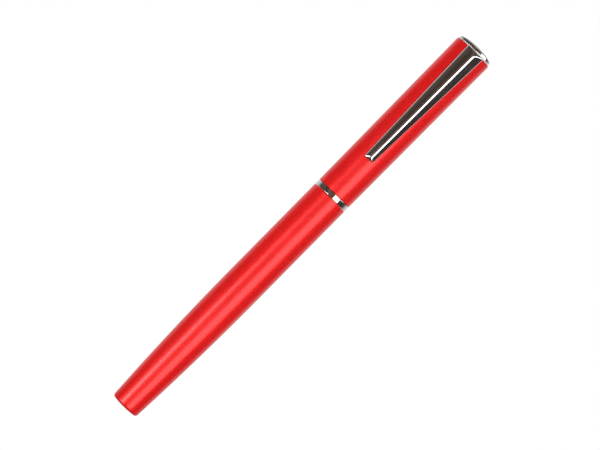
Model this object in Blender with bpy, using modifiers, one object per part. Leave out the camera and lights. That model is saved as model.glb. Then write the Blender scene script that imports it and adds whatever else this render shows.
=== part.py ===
"""Capped rollerball pen, lying along X with its clip up.

Run with: blender --background --python part.py

The pen is drawn along one centre line. A station is a distance along that line
from the closed end of the barrel, in millimetres, and every outline is a list of
(station, radius) points. The cap is at +X and the origin is on the table, under
the middle of the pen. The refill is the standard piece that the pen is drawn
round: its length and radius, the walls and the clearances give every casing.
"""

import math

import bmesh
import bpy
from mathutils import Matrix, Vector

MM = 0.001

# ---------------------------------------------------------------- fits and facets
SEAM = 0.15            # open seam between two end faces that meet
SEAT_GAP = 0.05        # radial gap of a pressed or seated piece
RUNNING_GAP = 0.10     # radial gap of a piece that slides
THREAD_GAP = 0.12      # gap round the thread of the barrel joint
FACE_GAP = 0.30        # gap between inner pieces that only rest on each other
FACETS = 32            # sides of the casings and of what fits them
SMALL_FACETS = 20      # sides of the refill's pieces
TINY_FACETS = 12       # sides of the point and its ball

# ---------------------------------------------------------------- barrel
BARREL_TAPER = 47.2    # length over which the barrel narrows to its end
BARREL_NARROWING = 1.30  # how much its radius loses there
BARREL_WALL = 0.90
BARREL_FLOOR = 2.4
END_ROUNDING = 0.55
END_CROWN = 0.22       # rise of the domed end
END_LAND = 1.5         # radius of the flat in the middle of the end
EDGE_ROUNDING = 0.12   # broken edge at the seams

BUSH_LENGTH = 11.0
BUSH_RECESS = 0.45
BUSH_WALL = 0.40       # wall behind the bush's groove

# ---------------------------------------------------------------- barrel joint
THREAD_DEPTH = 0.35
THREAD_LEAD = 1.6
THREAD_ROOT = 0.36     # half the ridge's foot, as a share of the lead
THREAD_CREST = 0.12    # half the ridge's crest, as a share of the lead
THREAD_SUNK = 0.2      # how far the ridge's foot reaches into the sleeve
THREAD_STEPS = 20      # sweep steps in a turn
SLEEVE_WALL = 0.50     # wall under the thread
SLEEVE_SPIGOT = 8.0    # length of the sleeve inside the grip section

# ---------------------------------------------------------------- centre ring
RING_LENGTH = 1.40
RING_SET_IN = 0.05     # how much lower it is than the barrel

# ---------------------------------------------------------------- grip section
SECTION_LENGTH = 30.0
SECTION_WALL = 0.65    # wall over the sleeve
GRIP_WAIST = 0.22
CAP_SEAT = 5.2         # length of the straight part that the cap grips
SNAP_OFFSET = 1.9      # from the section's rear face to the snap ring's groove
SNAP_WIDTH = 1.2
SNAP_CREST = 0.36      # width of the ring's crest
SNAP_DEPTH = 0.30
SNAP_PROUD = 0.12
NOSE_LENGTH = 7.4
MOUTH_CLEARANCE = 0.15  # round the refill's nose, where the writing point leaves
LIP_WALL = 0.50
NOSE_BAND = 0.8        # nearly straight band at the cone's wide end
NOSE_BAND_DROP = 0.10
NOSE_EDGE = 0.25
NOSE_SPIGOT = 3.8
SPIGOT_WALL = 0.15
NOSE_WALL = 0.45

# ---------------------------------------------------------------- refill
REFILL_LENGTH = 110.0  # from its rear face to the front of its nose and point
REFILL_RADIUS = 3.05
REFILL_CLEARANCE = 0.20  # radial gap round it in the section
REFILL_WALL = 0.50
REFILL_HEAD = 0.65     # thickness of the end plug's head
PLUG_SPIGOT = 2.0
REFILL_SHOULDER = 2.5
REFILL_NOSE_CONE = 6.0
REFILL_NOSE_RADIUS = 1.20
REFILL_NOSE_WALL = 0.30
REFILL_NOSE_TIP = 2.0
REFILL_NOSE_SPIGOT = 5.1
FEED_RADIUS = 0.50
POINT_SPIGOT = 1.9
POINT_LENGTH = 3.5     # bare writing point in front of the refill's nose
POINT_RADIUS = 1.05
POINT_BAND = 1.6       # length of the point before it narrows
POINT_BAND_DROP = 0.08
INK_CHANNEL = 0.18
SOCKET_LIP = 0.10      # wall of the socket where it holds the ball
BALL_RADIUS = 0.35
BALL_CLEARANCE = 0.02
BALL_PROUD = 0.20      # how far the ball stands out of its socket

SPRING_WIRE = 0.25     # radius of the wire
SPRING_LENGTH = 8.85   # as it sits behind the refill
SPRING_SET_IN = 0.60   # how much smaller its radius is than the refill's
SPRING_TURNS = 6.0
SPRING_STEPS = 12      # points in a turn
SPRING_EASE = 0.06     # how much closer the end turns lie
SEAT_THICKNESS = 1.1
SEAT_BOSS = 1.6
SEAT_BOSS_TIP = 1.3
SEAT_BOSS_HEIGHT = 2.0

# ---------------------------------------------------------------- cap
CAP_WALL = 0.45        # wall at its mouth
CAP_WIDENING = 0.28    # how much its radius gains on the way to its top
CAP_CLEARANCE = 0.20   # radial gap round the grip section
CAP_FLOOR = 1.5        # thickness of the cap's closed top
TIP_AIR = 6.25         # free length in front of the writing point
CAP_TOP_ROUNDING = 0.20
CAP_TOP_HOLE = 1.75
LINER_RECESS = 0.8
LINER_WALL = 0.40
LINER_END_WALL = 1.2
LINER_ROUNDING = 1.0
PLUG_LENGTH = 3.9
STUD_RADIUS = 0.90

FINIAL_LENGTH = 1.55
FINIAL_SET_IN = 0.38   # how much smaller its radius is than the cap's
FINIAL_CROWN = 0.40
FINIAL_LAND = 2.0
FINIAL_BOSS = 1.60
FINIAL_SOCKET = 0.6    # how far the stud reaches into the disc

# ---------------------------------------------------------------- clip
CLIP_LENGTH = 40.8
CLIP_TIP_WIDTH = 2.70
CLIP_ROOT_WIDTH = 5.35
CLIP_EDGE = 0.50       # height of the clip's upright edges
CLIP_SLOPE = math.radians(30)
CLIP_CROWN = 0.70      # ridge radius as a share of half the width
CLIP_TIP_LIFT = 0.55   # air between the cap and the clip's underside
CLIP_ROOT_LIFT = 0.45
CLIP_HIP = 0.55        # length of the sloped faces at both ends
CLIP_BUMP = 0.65       # radius of the bead that holds the cloth
CLIP_BUMP_OFFSET = 3.2
CLIP_BUMP_AIR = 0.10
CLIP_TAB = 0.50        # thickness of the tab through the cap's rim
CLIP_TAB_WIDTH = 2.60
CLIP_RING_RADIUS = 4.00
CLIP_RING_DEPTH = 0.85 # depth of the recess that holds the clip's ring
TAB_CLEARANCE = 0.20

# ---------------------------------------------------------------- radii, from the refill out
SLEEVE_BORE = REFILL_RADIUS + REFILL_CLEARANCE
THREAD_CORE = SLEEVE_BORE + SLEEVE_WALL
BARREL_BORE = THREAD_CORE + THREAD_DEPTH + THREAD_GAP + BUSH_WALL + SEAT_GAP
BARREL_RADIUS = BARREL_BORE + BARREL_WALL
BARREL_END_RADIUS = BARREL_RADIUS - BARREL_NARROWING
REAR_BORE = BARREL_END_RADIUS - BARREL_WALL
RING_RADIUS = BARREL_RADIUS - RING_SET_IN
SECTION_RADIUS = THREAD_CORE + SEAT_GAP + SECTION_WALL
SECTION_FRONT = REFILL_RADIUS + RUNNING_GAP + SPIGOT_WALL + NOSE_WALL
NOSE_MOUTH = REFILL_NOSE_RADIUS + MOUTH_CLEARANCE
NOSE_LIP = NOSE_MOUTH + LIP_WALL
SPRING_RADIUS = REFILL_RADIUS - SPRING_SET_IN
CAP_BORE = SECTION_RADIUS + CAP_CLEARANCE + LINER_WALL + SEAT_GAP
CAP_MOUTH_RADIUS = CAP_BORE + CAP_WALL
CAP_TOP_RADIUS = CAP_MOUTH_RADIUS + CAP_WIDENING
FINIAL_RADIUS = CAP_TOP_RADIUS - FINIAL_SET_IN
AXIS_HEIGHT = CAP_TOP_RADIUS * math.cos(math.pi / FACETS)

# ---------------------------------------------------------------- stations, from the barrel's end
SEAT_START = BARREL_FLOOR + SEAM
SEAT_END = SEAT_START + SEAT_THICKNESS
REFILL_START = SEAT_END + SPRING_LENGTH + 2 * SEAM
REFILL_NOSE_END = REFILL_START + REFILL_LENGTH - POINT_LENGTH
REFILL_CONE_END = REFILL_NOSE_END - REFILL_NOSE_TIP
REFILL_CONE_START = REFILL_CONE_END - REFILL_NOSE_CONE
BALL_CENTRE = REFILL_NOSE_END + POINT_LENGTH + BALL_PROUD - BALL_RADIUS
NOSE_END = REFILL_NOSE_END + FACE_GAP
NOSE_START = NOSE_END - NOSE_LENGTH
SECTION_END = NOSE_START - SEAM
SECTION_START = SECTION_END - SECTION_LENGTH
RING_END = SECTION_START - FACE_GAP
RING_START = RING_END - RING_LENGTH
BARREL_LENGTH = RING_START - SEAM
CAP_MOUTH = RING_END + SEAM
LINER_INSIDE_END = BALL_CENTRE + BALL_RADIUS + TIP_AIR
LINER_END = LINER_INSIDE_END + LINER_END_WALL
PLUG_START = LINER_END + FACE_GAP
PLUG_END = PLUG_START + PLUG_LENGTH
CAP_FLOOR_START = PLUG_END + SEAM
CAP_TOP = CAP_FLOOR_START + CAP_FLOOR
CAP_LENGTH = CAP_TOP - CAP_MOUTH
FINIAL_START = CAP_TOP + SEAM
PEN_LENGTH = FINIAL_START + FINIAL_LENGTH
BUSH_END = BARREL_LENGTH - BUSH_RECESS
BUSH_START = BUSH_END - BUSH_LENGTH
THREAD_START = BUSH_START + 2 * THREAD_LEAD
THREAD_TURNS = math.floor(BUSH_LENGTH / THREAD_LEAD) - 2
CLIP_ROOT = CAP_TOP - SEAM
CLIP_TIP = CLIP_ROOT - CLIP_LENGTH


def new_collection(name):
    """Add a collection to the scene."""
    collection = bpy.data.collections.new(name)
    bpy.context.scene.collection.children.link(collection)
    return collection


def make_material(name, colour, roughness, metallic):
    """One plain finish."""
    material = bpy.data.materials.new(name)
    material.use_nodes = True
    shader = material.node_tree.nodes["Principled BSDF"]
    shader.inputs["Base Color"].default_value = (*colour, 1.0)
    shader.inputs["Roughness"].default_value = roughness
    shader.inputs["Metallic"].default_value = metallic
    material.diffuse_color = (*colour, 1.0)
    return material


def add_object(name, data, material, parent, collection):
    """Put a mesh or curve under its parent, in its collection."""
    piece = bpy.data.objects.new(name, data)
    if material:
        data.materials.append(material)
    piece.parent = parent
    collection.objects.link(piece)
    return piece


def add_empty(name, parent, collection):
    """A point that pieces hang on."""
    empty = bpy.data.objects.new(name, None)
    empty.empty_display_size = 0.005
    empty.parent = parent
    collection.objects.link(empty)
    return empty


def hide_cutter(cutter):
    """Show a cutter as a wire only."""
    cutter.hide_render = True
    cutter.display_type = "WIRE"
    return cutter


def arc(centre, radius, start, end, count):
    """Points of an arc round a (station, radius) centre, with angles in degrees."""
    points = []
    for step in range(count + 1):
        angle = math.radians(start + (end - start) * step / count)
        points.append((centre[0] + radius * math.cos(angle), centre[1] + radius * math.sin(angle)))
    return points


def profile_mesh(name, outline, base):
    """The outline as edges in the XZ plane, running down its outer side."""
    on_axis = outline[0][1] == 0.0 and outline[-1][1] == 0.0
    turns = zip(outline, outline[1:] + outline[:1])
    area = sum(a[1] * b[0] - b[1] * a[0] for a, b in turns)
    ordered = outline if area < 0 else outline[::-1]
    points = [(radius * MM, 0.0, (station - base) * MM) for station, radius in ordered]
    edges = [(n, n + 1) for n in range(len(points) - 1)]
    if not on_axis:
        edges.append((len(points) - 1, 0))
    mesh = bpy.data.meshes.new(name)
    mesh.from_pydata(points, edges, [])
    return mesh


def add_screw(piece, steps, lead=0.0, turns=1):
    """Turn a profile about the pen's centre line."""
    screw = piece.modifiers.new("turned", "SCREW")
    screw.axis = "Z"
    screw.steps = steps
    screw.render_steps = steps
    screw.screw_offset = lead * MM
    screw.iterations = turns
    screw.use_merge_vertices = lead == 0.0
    screw.merge_threshold = 0.000001
    screw.use_smooth_shade = True
    return screw


def turned(name, outline, material, parent, collection, facets=FACETS):
    """A piece turned about the centre line, with a flat side facing down."""
    base = min(station for station, _ in outline)
    piece = add_object(name, profile_mesh(name, outline, base), material, parent, collection)
    piece.location.z = base * MM
    piece.rotation_euler.z = math.pi / facets
    add_screw(piece, facets)
    return piece


def add_boolean(piece, operation, cutter):
    """Cut with, or join, another solid."""
    boolean = piece.modifiers.new(cutter.name, "BOOLEAN")
    boolean.operation = operation
    boolean.solver = "EXACT"
    boolean.object = cutter


def barrel_radius(station):
    """Outer radius of the barrel, which narrows on a smooth curve to its end."""
    run = max(0.0, BARREL_TAPER - station) / BARREL_TAPER
    return BARREL_RADIUS - (BARREL_RADIUS - BARREL_END_RADIUS) * run**2


def cap_radius(station):
    """Outer radius of the cap, which widens gently to its top."""
    run = (station - CAP_MOUTH) / CAP_LENGTH
    return CAP_MOUTH_RADIUS + (CAP_TOP_RADIUS - CAP_MOUTH_RADIUS) * run


def grip_radius(run):
    """Outer radius of the grip at a share of its length, with a slight waist."""
    waist = GRIP_WAIST * math.sin(math.pi * run)
    return SECTION_RADIUS + (SECTION_FRONT - SECTION_RADIUS) * run - waist


def thread_tool(name, gap, start, turns, parent, collection):
    """The helical ridge of the barrel joint, grown by a gap for the groove."""
    half_root = THREAD_LEAD * THREAD_ROOT + gap
    half_crest = THREAD_LEAD * THREAD_CREST + gap
    low = THREAD_CORE - THREAD_SUNK
    high = THREAD_CORE + THREAD_DEPTH + gap
    outline = [(-half_root, low), (half_root, low), (half_crest, high), (-half_crest, high)]
    ridge = add_object(name, profile_mesh(name, outline, 0.0), None, parent, collection)
    ridge.location.z = start * MM
    add_screw(ridge, THREAD_STEPS, THREAD_LEAD, turns)
    tree = bpy.context.evaluated_depsgraph_get()
    mesh = bpy.data.meshes.new_from_object(ridge.evaluated_get(tree))
    ridge.modifiers.clear()
    shape = bmesh.new()
    shape.from_mesh(mesh)
    bmesh.ops.remove_doubles(shape, verts=shape.verts, dist=0.000001)
    bmesh.ops.holes_fill(shape, edges=shape.edges, sides=0)
    bmesh.ops.recalc_face_normals(shape, faces=shape.faces)
    shape.to_mesh(mesh)
    shape.free()
    ridge.data = mesh
    return hide_cutter(ridge)


def build_barrel(finish, axis, parts, cutters):
    """Casing, threaded bush, spring seat and spring."""
    edge = END_CROWN + END_ROUNDING
    edge_radius = barrel_radius(edge) - END_ROUNDING
    outline = [(0.0, 0.0), (0.0, END_LAND)]
    outline += arc((edge, edge_radius), END_ROUNDING, 180, 90, 4)
    for step in range(1, 9):
        station = edge + (BARREL_TAPER - edge) * step / 8
        outline.append((station, barrel_radius(station)))
    outline += [
        (BARREL_LENGTH - EDGE_ROUNDING, BARREL_RADIUS),
        (BARREL_LENGTH, BARREL_RADIUS - EDGE_ROUNDING),
        (BARREL_LENGTH, BARREL_BORE),
        (BARREL_TAPER, BARREL_BORE),
        (BARREL_FLOOR, REAR_BORE),
        (BARREL_FLOOR, 0.0),
    ]
    turned("barrel_shell", outline, finish["lacquer"], axis, parts)

    bush_radius = BARREL_BORE - SEAT_GAP
    bush_bore = THREAD_CORE + THREAD_GAP
    bush_outline = [
        (BUSH_START, bush_bore),
        (BUSH_START, bush_radius - EDGE_ROUNDING),
        (BUSH_START + EDGE_ROUNDING, bush_radius),
        (BUSH_END, bush_radius),
        (BUSH_END, bush_bore),
    ]
    bush = turned("barrel_bush", bush_outline, finish["brass"], axis, parts)
    groove_start = BUSH_START - THREAD_LEAD
    turns = math.ceil(BUSH_LENGTH / THREAD_LEAD) + 2
    groove = thread_tool("bush_groove", THREAD_GAP, groove_start, turns, axis, cutters)
    add_boolean(bush, "DIFFERENCE", groove)

    seat_radius = REAR_BORE - SEAT_GAP
    seat_outline = [
        (SEAT_START, 0.0),
        (SEAT_START, seat_radius),
        (SEAT_END, seat_radius),
        (SEAT_END, SEAT_BOSS),
        (SEAT_END + SEAT_BOSS_HEIGHT, SEAT_BOSS_TIP),
        (SEAT_END + SEAT_BOSS_HEIGHT, 0.0),
    ]
    turned("spring_seat", seat_outline, finish["dark_plastic"], axis, parts, SMALL_FACETS)

    first = SEAT_END + SEAM + SPRING_WIRE
    last = first + SPRING_LENGTH - 2 * SPRING_WIRE
    curve = bpy.data.curves.new("refill_spring", "CURVE")
    curve.dimensions = "3D"
    curve.bevel_depth = SPRING_WIRE * MM
    curve.bevel_resolution = 1
    curve.use_fill_caps = True
    coil = curve.splines.new("POLY")
    count = round(SPRING_TURNS * SPRING_STEPS)
    coil.points.add(count)
    for step in range(count + 1):
        angle = 2 * math.pi * step / SPRING_STEPS
        run = step / count
        run -= SPRING_EASE * math.sin(2 * math.pi * run)
        station = first + (last - first) * run
        place = Vector((SPRING_RADIUS * math.cos(angle), SPRING_RADIUS * math.sin(angle), station))
        coil.points[step].co = (*(place * MM), 1.0)
    add_object("refill_spring", curve, finish["steel"], axis, parts)


def build_ring(finish, axis, parts):
    """The bright ring between barrel and cap."""
    bore = THREAD_CORE + SEAT_GAP + RUNNING_GAP
    outline = [
        (RING_START, bore),
        (RING_START, RING_RADIUS - EDGE_ROUNDING),
        (RING_START + EDGE_ROUNDING, RING_RADIUS),
        (RING_END - EDGE_ROUNDING, RING_RADIUS),
        (RING_END, RING_RADIUS - EDGE_ROUNDING),
        (RING_END, bore),
    ]
    turned("centre_ring", outline, finish["chrome"], axis, parts)


def build_section(finish, axis, parts, cutters):
    """Grip section, its threaded sleeve, the snap ring and the nose cone."""
    sleeve_start = THREAD_START - THREAD_LEAD
    sleeve_end = SECTION_START + SLEEVE_SPIGOT
    sleeve_outline = [
        (sleeve_start, SLEEVE_BORE),
        (sleeve_start, THREAD_CORE - EDGE_ROUNDING),
        (sleeve_start + EDGE_ROUNDING, THREAD_CORE),
        (sleeve_end, THREAD_CORE),
        (sleeve_end, SLEEVE_BORE),
    ]
    sleeve = turned("thread_sleeve", sleeve_outline, finish["brass"], axis, parts)
    ridge = thread_tool("sleeve_ridge", 0.0, THREAD_START, THREAD_TURNS, axis, cutters)
    add_boolean(sleeve, "UNION", ridge)

    socket = THREAD_CORE + SEAT_GAP
    groove = SECTION_START + SNAP_OFFSET
    grip_start = SECTION_START + CAP_SEAT
    outline = [
        (SECTION_START, socket),
        (SECTION_START, SECTION_RADIUS - EDGE_ROUNDING),
        (SECTION_START + EDGE_ROUNDING, SECTION_RADIUS),
        (groove, SECTION_RADIUS),
        (groove, SECTION_RADIUS - SNAP_DEPTH),
        (groove + SNAP_WIDTH, SECTION_RADIUS - SNAP_DEPTH),
        (groove + SNAP_WIDTH, SECTION_RADIUS),
    ]
    for step in range(9):
        run = step / 8
        station = grip_start + (SECTION_END - grip_start) * run
        outline.append((station, grip_radius(run)))
    front_socket = SECTION_FRONT - NOSE_WALL + SEAT_GAP
    outline += [
        (SECTION_END, front_socket),
        (SECTION_END - NOSE_SPIGOT - FACE_GAP, front_socket),
        (SECTION_END - NOSE_SPIGOT - FACE_GAP, SLEEVE_BORE),
        (sleeve_end + FACE_GAP, SLEEVE_BORE),
        (sleeve_end + FACE_GAP, socket),
    ]
    turned("grip_section", outline, finish["dark_plastic"], axis, parts)

    snap_low = SECTION_RADIUS - SNAP_DEPTH + SEAT_GAP
    snap_high = SECTION_RADIUS + SNAP_PROUD
    snap_start = groove + SEAT_GAP
    snap_end = groove + SNAP_WIDTH - SEAT_GAP
    snap_middle = (snap_start + snap_end) / 2
    snap_outline = [
        (snap_start, snap_low),
        (snap_start, SECTION_RADIUS),
        (snap_middle - SNAP_CREST / 2, snap_high),
        (snap_middle + SNAP_CREST / 2, snap_high),
        (snap_end, SECTION_RADIUS),
        (snap_end, snap_low),
    ]
    turned("snap_ring", snap_outline, finish["steel"], axis, parts)

    spigot = SECTION_FRONT - NOSE_WALL
    spigot_bore = REFILL_RADIUS + RUNNING_GAP
    nose_outline = [
        (SECTION_END - NOSE_SPIGOT, spigot_bore),
        (SECTION_END - NOSE_SPIGOT, spigot),
        (NOSE_START, spigot),
        (NOSE_START, SECTION_FRONT - EDGE_ROUNDING),
        (NOSE_START + EDGE_ROUNDING, SECTION_FRONT),
        (NOSE_START + NOSE_BAND, SECTION_FRONT - NOSE_BAND_DROP),
        (NOSE_END - NOSE_EDGE, NOSE_LIP),
        (NOSE_END, NOSE_LIP - NOSE_EDGE),
        (NOSE_END, NOSE_MOUTH),
        (REFILL_CONE_END + FACE_GAP, NOSE_MOUTH),
        (REFILL_CONE_START + FACE_GAP, spigot_bore),
    ]
    turned("nose_cone", nose_outline, finish["chrome"], axis, parts)


def build_refill(finish, axis, ball_pivot, parts):
    """Tube, end plug, ink reservoir, feed, nose, writing point and ball."""
    bore = REFILL_RADIUS - REFILL_WALL
    spigot = bore - SEAT_GAP
    plug_end = REFILL_START + REFILL_HEAD + PLUG_SPIGOT
    plug_outline = [
        (REFILL_START, 0.0),
        (REFILL_START, REFILL_RADIUS - EDGE_ROUNDING),
        (REFILL_START + EDGE_ROUNDING, REFILL_RADIUS),
        (REFILL_START + REFILL_HEAD, REFILL_RADIUS),
        (REFILL_START + REFILL_HEAD, spigot),
        (plug_end, spigot),
        (plug_end, 0.0),
    ]
    turned("refill_end_plug", plug_outline, finish["dark_plastic"], axis, parts, SMALL_FACETS)

    shoulder = REFILL_CONE_START - REFILL_SHOULDER
    tube_start = REFILL_START + REFILL_HEAD + SEAM
    tube_end = shoulder - SEAM
    tube_outline = [
        (tube_start, bore),
        (tube_start, REFILL_RADIUS),
        (tube_end, REFILL_RADIUS),
        (tube_end, bore),
    ]
    turned("refill_tube", tube_outline, finish["steel"], axis, parts, SMALL_FACETS)

    feed_bore = FEED_RADIUS + RUNNING_GAP
    point_socket = POINT_SPIGOT + FACE_GAP
    spigot_start = tube_end - REFILL_NOSE_SPIGOT
    point_bore = REFILL_NOSE_RADIUS - REFILL_NOSE_WALL
    nose_outline = [
        (spigot_start, feed_bore),
        (spigot_start, spigot),
        (shoulder, spigot),
        (shoulder, REFILL_RADIUS),
        (REFILL_CONE_START, REFILL_RADIUS),
        (REFILL_CONE_END, REFILL_NOSE_RADIUS),
        (REFILL_NOSE_END, REFILL_NOSE_RADIUS),
        (REFILL_NOSE_END, point_bore),
        (REFILL_NOSE_END - point_socket, point_bore),
        (REFILL_NOSE_END - point_socket, feed_bore),
    ]
    turned("refill_nose", nose_outline, finish["grey_plastic"], axis, parts, SMALL_FACETS)

    reservoir_outline = [
        (plug_end + FACE_GAP, 0.0),
        (plug_end + FACE_GAP, spigot - SEAT_GAP),
        (spigot_start - FACE_GAP, spigot - SEAT_GAP),
        (spigot_start - FACE_GAP, 0.0),
    ]
    turned("ink_reservoir", reservoir_outline, finish["ink"], axis, parts, SMALL_FACETS)

    feed_end = REFILL_NOSE_END - point_socket
    feed_outline = [
        (spigot_start, 0.0),
        (spigot_start, FEED_RADIUS),
        (feed_end, FEED_RADIUS),
        (feed_end, 0.0),
    ]
    turned("feed_rod", feed_outline, finish["felt"], axis, parts, TINY_FACETS)

    socket = BALL_RADIUS + BALL_CLEARANCE
    lip_station = BALL_CENTRE + BALL_RADIUS - BALL_PROUD
    lip = math.sqrt(BALL_RADIUS**2 - (lip_station - BALL_CENTRE) ** 2) + BALL_CLEARANCE
    point_spigot = point_bore - SEAT_GAP
    point_outline = [
        (REFILL_NOSE_END - POINT_SPIGOT, INK_CHANNEL),
        (REFILL_NOSE_END - POINT_SPIGOT, point_spigot),
        (REFILL_NOSE_END + SEAM, point_spigot),
        (REFILL_NOSE_END + SEAM, POINT_RADIUS),
        (REFILL_NOSE_END + POINT_BAND, POINT_RADIUS - POINT_BAND_DROP),
        (lip_station, lip + SOCKET_LIP),
        (lip_station, lip),
        (BALL_CENTRE, socket),
        (BALL_CENTRE - BALL_RADIUS, socket),
        (BALL_CENTRE - BALL_RADIUS - INK_CHANNEL, INK_CHANNEL),
    ]
    turned("point_cone", point_outline, finish["brass"], axis, parts, SMALL_FACETS)

    mesh = bpy.data.meshes.new("writing_ball")
    shape = bmesh.new()
    bmesh.ops.create_uvsphere(shape, u_segments=TINY_FACETS, v_segments=8,
                              radius=BALL_RADIUS * MM)
    shape.to_mesh(mesh)
    shape.free()
    mesh.shade_smooth()
    add_object("writing_ball", mesh, finish["steel"], ball_pivot, parts)


def build_cap(finish, axis, parts, cutters):
    """Cap casing, inner cap, plug, clip ring, finial and its stud."""
    recess = CAP_TOP - CLIP_RING_DEPTH
    recess_radius = CLIP_RING_RADIUS + SEAT_GAP
    outline = [
        (CAP_MOUTH, CAP_BORE),
        (CAP_MOUTH, cap_radius(CAP_MOUTH) - EDGE_ROUNDING),
        (CAP_MOUTH + EDGE_ROUNDING, cap_radius(CAP_MOUTH)),
    ]
    rounding_start = CAP_TOP - CAP_TOP_ROUNDING
    corner = (rounding_start, CAP_TOP_RADIUS - CAP_TOP_ROUNDING)
    outline += arc(corner, CAP_TOP_ROUNDING, 90, 0, 3)
    outline += [
        (CAP_TOP, recess_radius),
        (recess, recess_radius),
        (recess, CAP_TOP_HOLE),
        (CAP_FLOOR_START, CAP_TOP_HOLE),
        (CAP_FLOOR_START, CAP_BORE),
    ]
    shell = turned("cap_shell", outline, finish["lacquer"], axis, parts)
    add_boolean(shell, "DIFFERENCE", rim_notch(axis, cutters))

    plug_radius = CAP_BORE - SEAT_GAP
    stud_hole = STUD_RADIUS + SEAT_GAP
    plug_outline = [
        (PLUG_START, stud_hole),
        (PLUG_START, plug_radius - EDGE_ROUNDING),
        (PLUG_START + EDGE_ROUNDING, plug_radius),
        (PLUG_END, plug_radius),
        (PLUG_END, stud_hole),
    ]
    turned("cap_plug", plug_outline, finish["brass"], axis, parts)

    liner_start = CAP_MOUTH + LINER_RECESS
    inside = SECTION_RADIUS + CAP_CLEARANCE
    liner_outline = [
        (LINER_END, 0.0),
        (LINER_END, plug_radius),
        (liner_start, plug_radius),
        (liner_start, inside),
        (LINER_INSIDE_END - LINER_ROUNDING, inside),
        (LINER_INSIDE_END, inside - LINER_ROUNDING),
        (LINER_INSIDE_END, 0.0),
    ]
    turned("inner_cap", liner_outline, finish["dark_plastic"], axis, parts)

    ring_start = recess + SEAM
    ring_outline = [
        (ring_start, CAP_TOP_HOLE),
        (ring_start, CLIP_RING_RADIUS),
        (CAP_TOP, CLIP_RING_RADIUS),
        (CAP_TOP, CAP_TOP_HOLE),
    ]
    turned("clip_ring", ring_outline, finish["chrome"], axis, parts)

    socket_end = FINIAL_START + FINIAL_SOCKET
    rim = PEN_LENGTH - FINIAL_CROWN
    rim_radius = FINIAL_RADIUS - EDGE_ROUNDING
    finial_outline = [(PEN_LENGTH, 0.0), (PEN_LENGTH, FINIAL_LAND)]
    for step in range(1, 4):
        run = step / 3
        radius = FINIAL_LAND + (rim_radius - FINIAL_LAND) * run
        finial_outline.append((PEN_LENGTH - FINIAL_CROWN * run**2, radius))
    finial_outline += [
        (rim - EDGE_ROUNDING, FINIAL_RADIUS),
        (FINIAL_START + EDGE_ROUNDING, FINIAL_RADIUS),
        (FINIAL_START, FINIAL_RADIUS - EDGE_ROUNDING),
        (FINIAL_START, FINIAL_BOSS),
        (CAP_FLOOR_START, FINIAL_BOSS),
        (CAP_FLOOR_START, stud_hole),
        (socket_end, stud_hole),
        (socket_end, 0.0),
    ]
    turned("finial", finial_outline, finish["chrome"], axis, parts)

    stud_outline = [
        (PLUG_START + FACE_GAP, 0.0),
        (PLUG_START + FACE_GAP, STUD_RADIUS),
        (socket_end - SEAM, STUD_RADIUS),
        (socket_end - SEAM, 0.0),
    ]
    turned("finial_stud", stud_outline, finish["steel"], axis, parts)


def box_mesh(name, low, high):
    """A box between two corners, in millimetres."""
    mesh = bpy.data.meshes.new(name)
    shape = bmesh.new()
    middle = [(a + b) / 2 * MM for a, b in zip(low, high)]
    size = [(b - a) * MM for a, b in zip(low, high)]
    place = Matrix.Translation(middle) @ Matrix.Diagonal((*size, 1.0))
    bmesh.ops.create_cube(shape, size=1.0, matrix=place)
    shape.to_mesh(mesh)
    shape.free()
    return mesh


def rim_notch(axis, cutters):
    """The slot in the cap's rim that the clip's tab comes through."""
    half = CLIP_TAB_WIDTH / 2 + TAB_CLEARANCE
    low = (-CAP_TOP_RADIUS - CAP_FLOOR, -half, CAP_TOP - CLIP_RING_DEPTH)
    high = (-CLIP_RING_RADIUS + FACE_GAP, half, CAP_TOP + CAP_FLOOR)
    notch = add_object("rim_notch", box_mesh("rim_notch", low, high), None, axis, cutters)
    return hide_cutter(notch)


def clip_station_radius(station):
    """Distance from the centre line to the clip's underside."""
    run = (station - CLIP_TIP) / CLIP_LENGTH
    return cap_radius(station) + CLIP_TIP_LIFT + (CLIP_ROOT_LIFT - CLIP_TIP_LIFT) * run


def clip_section(station, raised):
    """Half of the clip's cross-section, from the middle of its underside to its ridge."""
    run = (station - CLIP_TIP) / CLIP_LENGTH
    half = (CLIP_TIP_WIDTH + (CLIP_ROOT_WIDTH - CLIP_TIP_WIDTH) * run) / 2
    crown = half * CLIP_CROWN
    shoulder = crown * math.sin(CLIP_SLOPE)
    rise = (half - shoulder) * math.tan(CLIP_SLOPE)
    floor = clip_station_radius(station)
    points = [(0.0, 0.0), (half, 0.0), (half, CLIP_EDGE)]
    for angle in (CLIP_SLOPE, CLIP_SLOPE / 2, 0.0):
        height = rise - crown * (math.cos(CLIP_SLOPE) - math.cos(angle))
        points.append((crown * math.sin(angle), CLIP_EDGE + height * raised))
    return [(across, floor + height, station) for across, height in points]


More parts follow.
